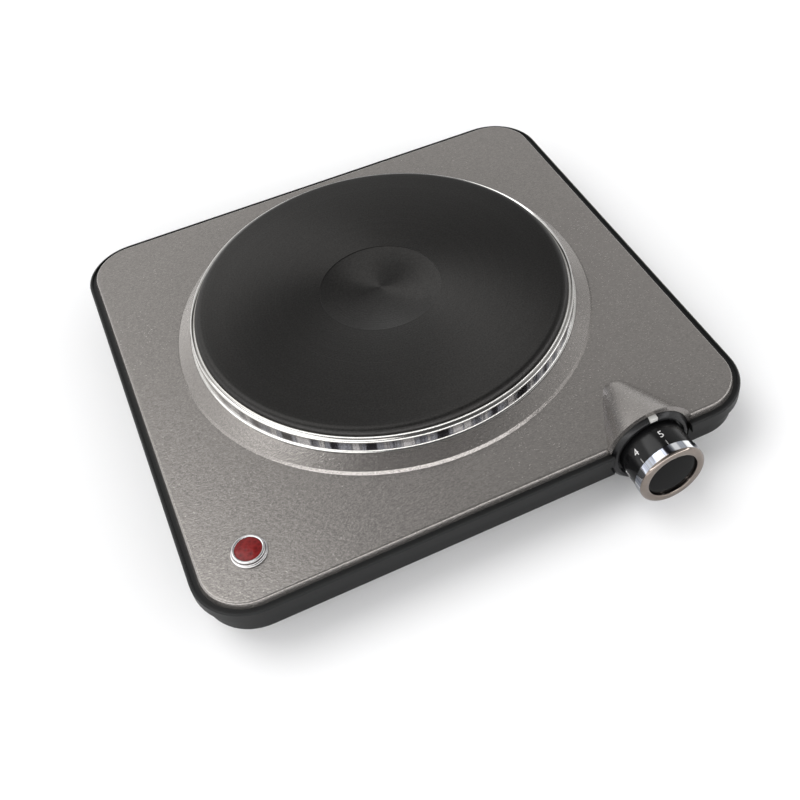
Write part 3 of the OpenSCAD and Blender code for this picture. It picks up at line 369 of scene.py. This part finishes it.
def finished(name, bm, material, body, replaced=None):
    """Turns a bmesh into a smooth piece that rides on its body and may stand for a CAD node."""
    mesh = bpy.data.meshes.new(name)
    bm.to_mesh(mesh)
    bm.free()
    mesh.shade_smooth()
    mesh.set_sharp_from_angle(angle=SMOOTH_ANGLE)
    mesh.materials.append(material)
    piece = bpy.data.objects.new(name, mesh)
    bpy.context.scene.collection.objects.link(piece)
    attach(piece, body)
    if replaced:
        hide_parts(replaced)


def dome(r, top, drop, steps):
    """Points from a dome's edge up to its middle."""
    return [(r * k / steps, top - drop * (k / steps) ** 2) for k in range(steps, -1, -1)]


def turned(section, centre, axis=(0, 0, 1), steps=128, closed=True):
    """Spins a section of (radius, height) points in mm round an axis through a centre."""
    bm = bmesh.new()
    verts = [bm.verts.new((r * MM, 0, h * MM)) for r, h in section]
    edges = [bm.edges.new(pair) for pair in zip(verts, verts[1:])]
    if closed:
        edges.append(bm.edges.new((verts[-1], verts[0])))
    bmesh.ops.spin(bm, geom=verts + edges, cent=(0, 0, 0), axis=(0, 0, 1), dvec=(0, 0, 0),
                   angle=2 * math.pi, steps=steps, use_merge=True, use_duplicate=False)
    bmesh.ops.remove_doubles(bm, verts=bm.verts, dist=0.002 * MM)
    bmesh.ops.dissolve_degenerate(bm, dist=0.001 * MM, edges=bm.edges)
    bmesh.ops.recalc_face_normals(bm, faces=bm.faces)
    turn = Vector((0, 0, 1)).rotation_difference(Vector(axis)).to_matrix().to_4x4()
    bm.transform(Matrix.Translation(centre) @ turn)
    return bm


def rounded(points, radius, corners, segments=3):
    """Rounds the named corners of a section with short arcs."""
    out = []
    for i, point in enumerate(points):
        if i not in corners:
            out.append(point)
            continue
        here = Vector(point)
        back = Vector(points[i - 1]) - here
        on = Vector(points[(i + 1) % len(points)]) - here
        cut = min(radius, back.length * 0.45, on.length * 0.45)
        start, end = here + back.normalized() * cut, here + on.normalized() * cut
        for k in range(segments + 1):
            t = k / segments
            out.append(tuple(start * (1 - t) ** 2 + here * 2 * t * (1 - t) + end * t * t))
    return out


def arc(cx, cz, r, start, end, steps):
    """Points on an arc, angles in degrees."""
    return [(cx + r * math.cos(math.radians(start + (end - start) * k / steps)),
             cz + r * math.sin(math.radians(start + (end - start) * k / steps))) for k in range(steps + 1)]


def dress(node, material):
    """Gives a CAD node its finish."""
    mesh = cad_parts[node].data
    mesh.materials.clear()
    mesh.materials.append(material)


class PieceOperator:
    """Runs an operator's build with the scene's sizes and colours."""

    bl_options = {"REGISTER", "UNDO"}

    def execute(self, context):
        self.build(context.scene.hotplate)
        return {"FINISHED"}


# ---------- properties ----------

class HotplateLook(bpy.types.PropertyGroup):
    """Sizes and colours that a user would change."""

    cover_colour: bpy.props.FloatVectorProperty(
        name="Cover", description="Reflected colour of the steel cover",
        subtype="COLOR", size=3, min=0, max=1, default=(0.25, 0.235, 0.222))
    plate_colour: bpy.props.FloatVectorProperty(
        name="Heating plate", description="Colour of the blackened iron",
        subtype="COLOR", size=3, min=0, max=1, default=(0.034, 0.033, 0.032))
    base_colour: bpy.props.FloatVectorProperty(
        name="Base", description="Colour of the moulded base",
        subtype="COLOR", size=3, min=0, max=1, default=(0.008, 0.0082, 0.0082))
    knob_colour: bpy.props.FloatVectorProperty(
        name="Knob", description="Colour of the knob's barrel",
        subtype="COLOR", size=3, min=0, max=1, default=(0.005, 0.005, 0.0053))
    lens_colour: bpy.props.FloatVectorProperty(
        name="Lens", description="Colour of the pilot lamp's lens",
        subtype="COLOR", size=3, min=0, max=1, default=(0.15, 0.01, 0.01))
    dial_colour: bpy.props.FloatVectorProperty(
        name="Dial print", description="Colour of the numbers and ticks",
        subtype="COLOR", size=3, min=0, max=1, default=(0.62, 0.61, 0.6))
    digit_height: bpy.props.FloatProperty(
        name="Number height", description="Height of the dial's numbers",
        subtype="DISTANCE", unit="LENGTH", min=0.002, max=0.006, default=0.0036)
    dial_step: bpy.props.FloatProperty(
        name="Dial step", description="Angle between two numbers",
        subtype="ANGLE", min=0.5, max=1.0, default=math.radians(50))
    dial_steps: bpy.props.IntProperty(
        name="Dial steps", description="Highest number of the dial", min=1, max=9, default=5)
    round_steps: bpy.props.IntProperty(
        name="Smoothness", description="Faces round the largest turned pieces",
        min=48, max=360, default=240)
    light: bpy.props.FloatProperty(
        name="Light", description="Strength of the studio light", min=0.1, max=5, default=1.0)


# ---------- operators ----------

class HOTPLATE_OT_cover(PieceOperator, bpy.types.Operator):
    """Finish the pressed steel cover"""
    bl_idname = "hotplate.cover"
    bl_label = "Top cover"

    def build(self, look):
        dress("top_cover", cover_steel(look.cover_colour))


class HOTPLATE_OT_plate(PieceOperator, bpy.types.Operator):
    """Turn the cast-iron heating plate with its grooves below"""
    bl_idname = "hotplate.plate"
    bl_label = "Heating plate"

    def build(self, look):
        top = PLATE_TOP / MM
        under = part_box("heating_plate")[0].z / MM
        r = PLATE_R / MM

        # recess in the middle, then a wide flat and a rounded edge
        recess_r, recess_deep = 30, 0.5
        edge_w, edge_drop = 3.8, 2.5
        edge_r = (edge_w ** 2 + edge_drop ** 2) / (2 * edge_drop)
        sweep = math.degrees(math.asin(edge_w / edge_r))
        section = [(0, top - recess_deep), (recess_r - 0.25, top - recess_deep), (recess_r, top - 0.35),
                   (recess_r + 0.05, top - 0.08), (recess_r + 0.3, top)]
        section += arc(r - edge_w, top - edge_r, edge_r, 90, 90 - sweep, 10)

        # rim, with the neck stepped in below it
        rim, rim_h, neck_r = top - edge_drop, 1.5, r - 4.5
        section += [(r, rim - 0.3), (r, rim - rim_h + 0.2), (r - 0.2, rim - rim_h), (neck_r, rim - rim_h),
                    (neck_r, under)]

        # grooves for the coil, and the blind hole for the centre stud
        first, pitch, half, wire_r = 40, 13, 4, 1.8
        groove_top = under + 2 * (middle("heating_coil").z / MM - under)
        last = round(half_width("heating_coil") / MM - wire_r)
        for ring in range(last, first - 1, -pitch):
            section += [(ring + half, under), (ring + half, groove_top), (ring - half, groove_top),
                        (ring - half, under)]
        stud_r, stud_deep = 3, 8
        section += [(stud_r, under), (stud_r, under + stud_deep), (0, under + stud_deep)]
        bm = turned(section, (PLATE.x, PLATE.y, 0), steps=look.round_steps, closed=False)
        finished("iron_plate", bm, turned_iron(look.plate_colour), "housing", "heating_plate")


class HOTPLATE_OT_trim(PieceOperator, bpy.types.Operator):
    """Spin the chromed ring round the plate"""
    bl_idname = "hotplate.trim"
    bl_label = "Trim ring"

    def build(self, look):
        foot_r = half_width("trim_ring") / MM
        out_r = foot_r - 1
        foot_z = 35.1
        top = PLATE_TOP / MM - 3.5
        lip = PLATE_TOP / MM - 4
        r = PLATE_R / MM
        ledge_r, sheet = r - 4, 0.8

        # ledge under the plate's rim, the inner wall and the turned-out foot
        section = [(ledge_r, lip - sheet), (out_r - sheet, lip - sheet), (out_r - sheet, foot_z),
                   (foot_r, foot_z), (foot_r, foot_z + 0.25)]
        # outer wall with a rolled top, and a thin bead against the plate
        section += arc(out_r + 0.8, foot_z + 1.2, 0.8, 270, 180, 5)
        section += arc(out_r - 0.9, top - 0.9, 0.9, 0, 90, 7)
        section += arc(out_r - 1.5, top - 0.35, 0.25, 270, 225, 2)[::-1]
        section += [(r + 0.5, top - 0.3), (r + 0.28, top - 0.1), (r + 0.12, top + 0.35),
                    (r + 0.04, top + 0.2), (r + 0.02, lip), (ledge_r, lip)]
        bm = turned(section, (PLATE.x, PLATE.y, 0), steps=look.round_steps)
        chrome = streaked_chrome("trim_chrome", (PLATE.x, PLATE.y, 0), "Z", 12.0, (foot_z + 1.1, top - 1.0))
        finished("trim_band", bm, chrome, "housing", "trim_ring")


class HOTPLATE_OT_knob(PieceOperator, bpy.types.Operator):
    """Turn the knob: its barrel, chromed ring, cap and the collar round it"""
    bl_idname = "hotplate.knob"
    bl_label = "Knob"

    def barrel(self, look, seam, seat_r):
        """Barrel with a hub for the spindle and a spigot for the ring."""
        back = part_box("knob_body")[1].y
        long = (back - seam) / MM
        r = half_width("knob_body") / MM
        hub_r, bore_r, wall, spigot = 6.2, 4.6, 2, 3.5
        section = rounded([(r - wall, 1), (r - wall, long - 2), (hub_r, long - 2), (hub_r, -2), (bore_r, -2),
                           (bore_r, long + 0.9), (seat_r, long + 0.9), (seat_r, long + spigot),
                           (r - wall, long + spigot), (r - wall, long), (r, long), (r, 0), (r - 1.4, 0)],
                          0.4, {10, 11, 12})
        bm = turned(section, (KNOB.x, back, KNOB.z), FORWARD)
        black = moulded("knob_black", look.knob_colour, rough=0.2, grain_mm=0.3, depth=0.00001, specular=0.25)
        finished("knob_barrel", bm, black, "knob", "knob_body")

    def ring(self, seam, seat_r):
        """Chromed ring, its front lip rolled over the cap's edge."""
        inner_r = half_width("knob_body") / MM - 1.98
        ring_r = half_width("knob_trim_ring") / MM
        deep = (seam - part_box("knob_trim_ring")[0].y) / MM
        section = [(inner_r, 0), (ring_r - 0.4, 0), (ring_r, 0.35), (ring_r, deep - 2.3)]
        section += arc(ring_r - 1.9, deep - 1.9, 1.9, 12, 82, 8)
        section += [(13.3, deep - 0.05), (12.7, deep - 0.25), (12.3, deep - 0.6), (seat_r, deep - 1.1),
                    (seat_r, 4.05), (inner_r, 4.05)]
        bm = turned(section, (KNOB.x, seam, KNOB.z), FORWARD)
        chrome = streaked_chrome("knob_chrome", (KNOB.x, seam, KNOB.z), "Y", 3.0, lip=(deep - 1.7) * MM)
        finished("knob_ring", bm, chrome, "knob", "knob_trim_ring")

    def cap(self, look, seam):
        """Recessed cap, slightly domed."""
        cap_r = half_width("knob_cap") / MM
        cap_front = (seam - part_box("knob_cap")[0].y) / MM
        section = [(0, 3.6), (cap_r, 3.6), (cap_r, 4.4), (cap_r - 0.8, 4.5), (cap_r - 0.8, cap_front - 0.3)]
        section += dome(cap_r - 1.1, cap_front, 0.25, 6)
        bm = turned(section, (KNOB.x, seam, KNOB.z), FORWARD, 96, closed=False)
        gloss = moulded("cap_gloss", shade(look.knob_colour, 0.4), rough=0.08, grain_mm=0.5, depth=0.000004,
                        specular=0.06)
        finished("knob_cap_disc", bm, gloss, "knob", "knob_cap")

    def collar(self, look):
        """Collar that stands on the boss, round the barrel."""
        low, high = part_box("knob_collar")
        collar_r = half_width("knob_collar") / MM
        tall = (high.y - low.y) / MM
        bush_r, barrel_r, floor = 5.2, 16.75, 1.2
        section = rounded([(bush_r, 0), (collar_r, 0), (collar_r, tall - 2), (collar_r - 1.6, tall),
                           (barrel_r, tall), (barrel_r, floor), (bush_r, floor)], 0.5, {2, 3, 4})
        bm = turned(section, (KNOB.x, high.y, KNOB.z), FORWARD)
        satin = moulded("collar_black", look.knob_colour, rough=0.28, grain_mm=0.3, depth=0.00001,
                        specular=0.3)
        finished("knob_surround", bm, satin, "housing", "knob_collar")

    def mark(self):
        """Index mark let into the collar's top."""
        low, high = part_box("index_marker")
        bm = bmesh.new()
        bmesh.ops.create_cube(bm, size=1)
        size = high - low + Vector((0, 0.1 * MM, 0.12 * MM))
        bmesh.ops.transform(bm, matrix=Matrix.Diagonal((*size, 1)), verts=bm.verts)
        bmesh.ops.translate(bm, vec=(low + high) / 2 + Vector((0, -0.05 * MM, 0.0)), verts=bm.verts)
        bmesh.ops.bevel(bm, geom=bm.edges, offset=0.25 * MM, segments=3, profile=0.5, affect="EDGES",
                        material=-1)
        bmesh.ops.recalc_face_normals(bm, faces=bm.faces)
        grey = moulded("marker_grey", (0.5, 0.5, 0.48))
        finished("index_mark", bm, grey, "housing", "index_marker")

    def build(self, look):
        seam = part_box("knob_trim_ring")[1].y
        seat_r = 12.2
        self.barrel(look, seam, seat_r)
        self.ring(seam, seat_r)
        self.cap(look, seam)
        self.collar(look)
        self.mark()


class HOTPLATE_OT_dial(PieceOperator, bpy.types.Operator):
    """Print the dial's numbers and ticks on the knob's barrel"""
    bl_idname = "hotplate.dial"
    bl_label = "Dial"

    def wrapped(self, bm, along, angle):
        """Lays a flat shape on the barrel: X goes round it, Y along it towards the collar."""
        for _ in range(3):
            long = [e for e in bm.edges if e.calc_length() > 0.5 * MM]
            if long:
                bmesh.ops.subdivide_edges(bm, edges=long, cuts=1)
        bmesh.ops.triangulate(bm, faces=bm.faces)
        r = half_width("knob_body")
        for v in bm.verts:
            turn = v.co.x / r + angle
            lift = r + PRINT_LIFT + v.co.z
            v.co = (KNOB.x + lift * math.sin(turn), along + v.co.y, KNOB.z + lift * math.cos(turn))
        bmesh.ops.recalc_face_normals(bm, faces=bm.faces)

    def digit(self, number, height):
        """A number as a thin plate, centred on the origin."""
        text = bpy.data.curves.new("digit", "FONT")
        text.body = str(number)
        text.size = height * 1.4
        text.extrude = 0.02 * MM
        text.resolution_u = 3
        holder = bpy.data.objects.new("digit", text)
        bpy.context.scene.collection.objects.link(holder)
        bpy.context.view_layer.update()
        flat = bpy.data.meshes.new_from_object(holder.evaluated_get(bpy.context.evaluated_depsgraph_get()))
        bm = bmesh.new()
        bm.from_mesh(flat)
        bpy.data.objects.remove(holder)
        bpy.data.curves.remove(text)
        bpy.data.meshes.remove(flat)
        bmesh.ops.remove_doubles(bm, verts=bm.verts, dist=0.001 * MM)
        xs = [v.co.x for v in bm.verts]
        ys = [v.co.y for v in bm.verts]
        centre = Vector(((min(xs) + max(xs)) / 2, (min(ys) + max(ys)) / 2, 0))
        bmesh.ops.translate(bm, vec=-centre, verts=bm.verts)
        return bm

    def build(self, look):
        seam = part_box("knob_trim_ring")[1].y
        print_white = moulded("dial_print", look.dial_colour, rough=0.45, grain_mm=0.2)
        print_grey = moulded("tick_print", shade(look.dial_colour, 0.35), rough=0.45, grain_mm=0.2)
        tick_w, tick_long, tick_thick = 0.45 * MM, 2.6 * MM, 0.03 * MM
        for number in range(look.dial_steps + 1):
            angle = -(look.dial_steps - number) * look.dial_step
            bm = self.digit(number, look.digit_height)
            self.wrapped(bm, seam + 6.5 * MM, angle)
            finished(f"dial_number_{number}", bm, print_white, "knob")
            bm = bmesh.new()
            bmesh.ops.create_grid(bm, x_segments=2, y_segments=6, size=0.5)
            bmesh.ops.transform(bm, matrix=Matrix.Diagonal((tick_w, tick_long, 1, 1)), verts=bm.verts)
            bmesh.ops.solidify(bm, geom=bm.faces[:], thickness=tick_thick)
            self.wrapped(bm, seam + 1.4 * MM, angle)
            finished(f"dial_tick_{number}", bm, print_grey, "knob")


class HOTPLATE_OT_lamp(PieceOperator, bpy.types.Operator):
    """Make the pilot lamp's chromed bezel and its red lens"""
    bl_idname = "hotplate.lamp"
    bl_label = "Pilot lamp"

    def build(self, look):
        low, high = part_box("lamp_bezel")
        top = high.z / MM
        sheet = COVER_TOP / MM
        flange = half_width("lamp_bezel") / MM
        lens_r = half_width("lamp_lens") / MM
        tube = lens_r + 0.7
        section = [(lens_r, low.z / MM), (tube, low.z / MM), (tube, sheet), (flange, sheet),
                   (flange, sheet + 0.25)]
        section += arc(flange - 0.55, sheet + 0.25, 0.55, 0, 90, 4)[1:]
        section += arc(tube + 1.1, sheet + 1.3, 0.5, 270, 180, 4)
        section += arc(tube + 0.1, top - 0.5, 0.5, 0, 90, 5)
        section += arc(lens_r + 0.35, top - 0.35, 0.35, 90, 180, 4)
        bm = turned(section, (LAMP.x, LAMP.y, 0), steps=96)
        chrome = plain_chrome("lamp_chrome", (0.55, 0.54, 0.54))
        finished("lamp_ring", bm, chrome, "housing", "lamp_bezel")

        # lens: a shallow dome with a rounded shoulder and a hollow for the bulb
        bottom, crown = (corner.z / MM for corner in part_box("lamp_lens"))
        inside, hollow = lens_r - 1, 4
        section = [(0, bottom + hollow), (inside, bottom + hollow), (inside, bottom), (lens_r - 0.02, bottom)]
        section += arc(lens_r - 0.42, crown - 0.85, 0.4, 0, 60, 4)
        section += dome(lens_r - 0.7, crown, 0.42, 8)
        bm = turned(section, (LAMP.x, LAMP.y, 0), steps=96, closed=False)
        finished("lamp_glass", bm, ruby_lens(look.lens_colour), "housing", "lamp_lens")


class HOTPLATE_OT_base(PieceOperator, bpy.types.Operator):
    """Finish the moulded base, its feet and the cord gland"""
    bl_idname = "hotplate.base"
    bl_label = "Base"

    def build(self, look):
        dress("base_pan", moulded("base_black", look.base_colour, rough=0.45, grain_mm=0.4,
                                  depth=0.00002, specular=0.2))
        dress("rubber_feet", moulded("foot_rubber", look.base_colour, rough=0.7, grain_mm=0.25,
                                     depth=0.00004, specular=0.3))
        gland = moulded("gland_black", look.base_colour, rough=0.35)
        dress("cord_gland", gland)
        dress("gland_nut", gland)


class HOTPLATE_OT_inside(PieceOperator, bpy.types.Operator):
    """Give every working part inside the housing its own finish"""
    bl_idname = "hotplate.inside"
    bl_label = "Inside parts"

    def build(self, look):
        for finish, nodes in (
            (sheet_metal("zinc_steel", (0.55, 0.56, 0.58), 0.3),
             ["cover_posts", "centre_stud", "clamp_bar", "centre_washer", "centre_nut", "fuse_clip",
              "thermostat_bracket", "thermostat_screws", "bracket_screws", "lamp_spring_nut", "foot_screws",
              "cover_screws", "knob_spring_clip", "terminal_pins"]),
            (sheet_metal("shield_sheet", (0.7, 0.7, 0.69), 0.25, stretch=(1, 8, 1)),
             ["heat_shield", "element_cover"]),
            (sheet_metal("brass", (0.72, 0.52, 0.2), 0.25),
             ["thermostat_terminals", "spindle_bush", "bush_nut", "terminal_screws", "earth_screw", "spindle",
              "contact_leaf"]),
            (fired_clay("steatite", (0.72, 0.68, 0.58), 0.5),
             ["element_terminal", "thermostat_body", "lamp_holder", "terminal_block", "setting_pin",
              "thermal_fuse"]),
            (sheet_metal("bimetal", (0.5, 0.38, 0.2), 0.4), ["bimetal_strip"]),
            (sheet_metal("coil_alloy", (0.3, 0.28, 0.25), 0.5), ["heating_coil"]),
            (fired_clay("cement", (0.6, 0.57, 0.5), 0.8), ["insulating_cement"]),
            (neon_glass(), ["neon_bulb"]),
        ):
            for node in nodes:
                dress(node, finish)
        for name, node, colour in (
            ("lead_brown", "live_lead", (0.16, 0.06, 0.02)),
            ("lead_red", "switched_lead", (0.42, 0.03, 0.02)),
            ("lead_blue", "neutral_lead", (0.03, 0.1, 0.38)),
            ("lead_grey", "lamp_leads", (0.04, 0.04, 0.05)),
            ("lead_green", "earth_lead", (0.2, 0.38, 0.04)),
        ):
            dress(node, moulded(name, colour, rough=0.45))


class HOTPLATE_OT_stage(PieceOperator, bpy.types.Operator):
    """Set up the pale floor, the soft studio light and the camera"""
    bl_idname = "hotplate.stage"
    bl_label = "Studio"

    def sky(self, strength):
        """Soft light all round: brighter low down and to the left, dim overhead.

        A narrow band in front and to the left draws thin lights along the edges.
        """
        world = bpy.data.worlds.new("soft_studio")
        bpy.context.scene.world = world
        world.use_nodes = True
        n = Nodes(world.node_tree)
        x, y, z = n.parts(n.node("ShaderNodeTexCoord", out="Generated"))

        def levels(wire, *stops):
            return n.ramp(wire, [(place, (level, level, level)) for place, level in stops])

        height = levels(z, (0.0, 1.9), (0.12, 1.7), (0.28, 1.0), (0.57, 1.0), (0.74, 0.92), (0.83, 0.5),
                        (0.9, 0.16), (1.0, 0.12))
        side = levels(x * 0.5 + 0.5, (0.0, 1.1), (0.25, 1.05), (0.45, 0.88), (0.62, 0.72), (0.8, 0.62),
                      (1.0, 0.6))
        band = levels(z, (0.3, 0.0), (0.34, 1.0), (0.42, 1.0), (0.46, 0.0))
        front = levels(y * 0.5 + 0.5, (0.0, 1.0), (0.42, 1.0), (0.62, 0.0), (1.0, 0.0))
        both = n.mix(1.0, height, side, "MULTIPLY")
        strip = n.mix(1.0, band, front, "MULTIPLY")
        whole = n.node("ShaderNodeVectorMath", {"operation": "MULTIPLY_ADD"},
                       {0: strip, 1: STRIP_COLOUR, 2: both})
        background = world.node_tree.nodes["Background"]
        world.node_tree.links.new(whole.socket, background.inputs["Color"])
        background.inputs["Strength"].default_value = strength

    def sun(self, direction, strength, spread):
        """Wide key light from a direction."""
        data = bpy.data.lights.new("key", "SUN")
        data.energy = strength
        data.angle = spread
        lamp = bpy.data.objects.new("key", data)
        lamp.rotation_euler = Vector(direction).to_track_quat("Z", "Y").to_euler()
        bpy.context.scene.collection.objects.link(lamp)

    def camera(self):
        """Camera in front and to the left, looking down, turned a little about its own axis."""
        data = bpy.data.cameras.new("camera")
        data.lens = CAMERA_LENS
        data.sensor_width = CAMERA_SENSOR
        data.shift_x = data.shift_y = CAMERA_SHIFT
        data.clip_start, data.clip_end = 0.01, 50
        camera = bpy.data.objects.new("camera", data)
        back = Vector((math.sin(CAMERA_AZIMUTH) * math.cos(CAMERA_ELEVATION),
                       -math.cos(CAMERA_AZIMUTH) * math.cos(CAMERA_ELEVATION), math.sin(CAMERA_ELEVATION)))
        right = (-back).cross(Vector((0, 0, 1))).normalized()
        up = right.cross(-back)
        x = right * math.cos(CAMERA_ROLL) + up * math.sin(CAMERA_ROLL)
        y = -right * math.sin(CAMERA_ROLL) + up * math.cos(CAMERA_ROLL)
        turn = Matrix((x, y, back)).transposed().to_4x4()
        camera.matrix_world = Matrix.Translation(CAMERA_PLACE) @ turn
        bpy.context.scene.collection.objects.link(camera)
        bpy.context.scene.camera = camera

    def floor(self, half_side):
        """Wide flat floor under the feet."""
        bm = bmesh.new()
        bmesh.ops.create_grid(bm, x_segments=8, y_segments=8, size=half_side)
        mesh = bpy.data.meshes.new("floor")
        bm.to_mesh(mesh)
        bm.free()
        mesh.materials.append(pale_floor((0.92, 0.92, 0.92)))
        floor = bpy.data.objects.new("floor", mesh)
        bpy.context.scene.collection.objects.link(floor)

    def build(self, look):
        self.floor(6)
        self.sky(SKY_STRENGTH * look.light)
        self.sun(SUN_FROM, SUN_STRENGTH * look.light, SUN_SPREAD)
        self.camera()
        bpy.context.scene.view_settings.view_transform = "Standard"


OPERATORS = (
    HOTPLATE_OT_stage, HOTPLATE_OT_base, HOTPLATE_OT_cover, HOTPLATE_OT_plate, HOTPLATE_OT_trim,
    HOTPLATE_OT_lamp, HOTPLATE_OT_knob, HOTPLATE_OT_dial, HOTPLATE_OT_inside,
)


class HOTPLATE_PT_panel(bpy.types.Panel):
    """The hot plate's sizes, colours and pieces"""
    bl_idname = "HOTPLATE_PT_panel"
    bl_label = "Hot plate"
    bl_space_type = "VIEW_3D"
    bl_region_type = "UI"
    bl_category = "Hot plate"

    def draw(self, context):
        column = self.layout.column()
        for name in HotplateLook.__annotations__:
            column.prop(context.scene.hotplate, name)
        for operator in OPERATORS:
            column.operator(operator.bl_idname)


CLASSES = (HotplateLook, *OPERATORS, HOTPLATE_PT_panel)


def register():
    for cls in CLASSES:
        bpy.utils.register_class(cls)
    bpy.types.Scene.hotplate = bpy.props.PointerProperty(type=HotplateLook)


def unregister():
    del bpy.types.Scene.hotplate
    for cls in reversed(CLASSES):
        bpy.utils.unregister_class(cls)


def main():
    register()
    for operator in OPERATORS:
        group, name = operator.bl_idname.split(".")
        getattr(getattr(bpy.ops, group), name)()


if __name__ == "__main__":
    main()
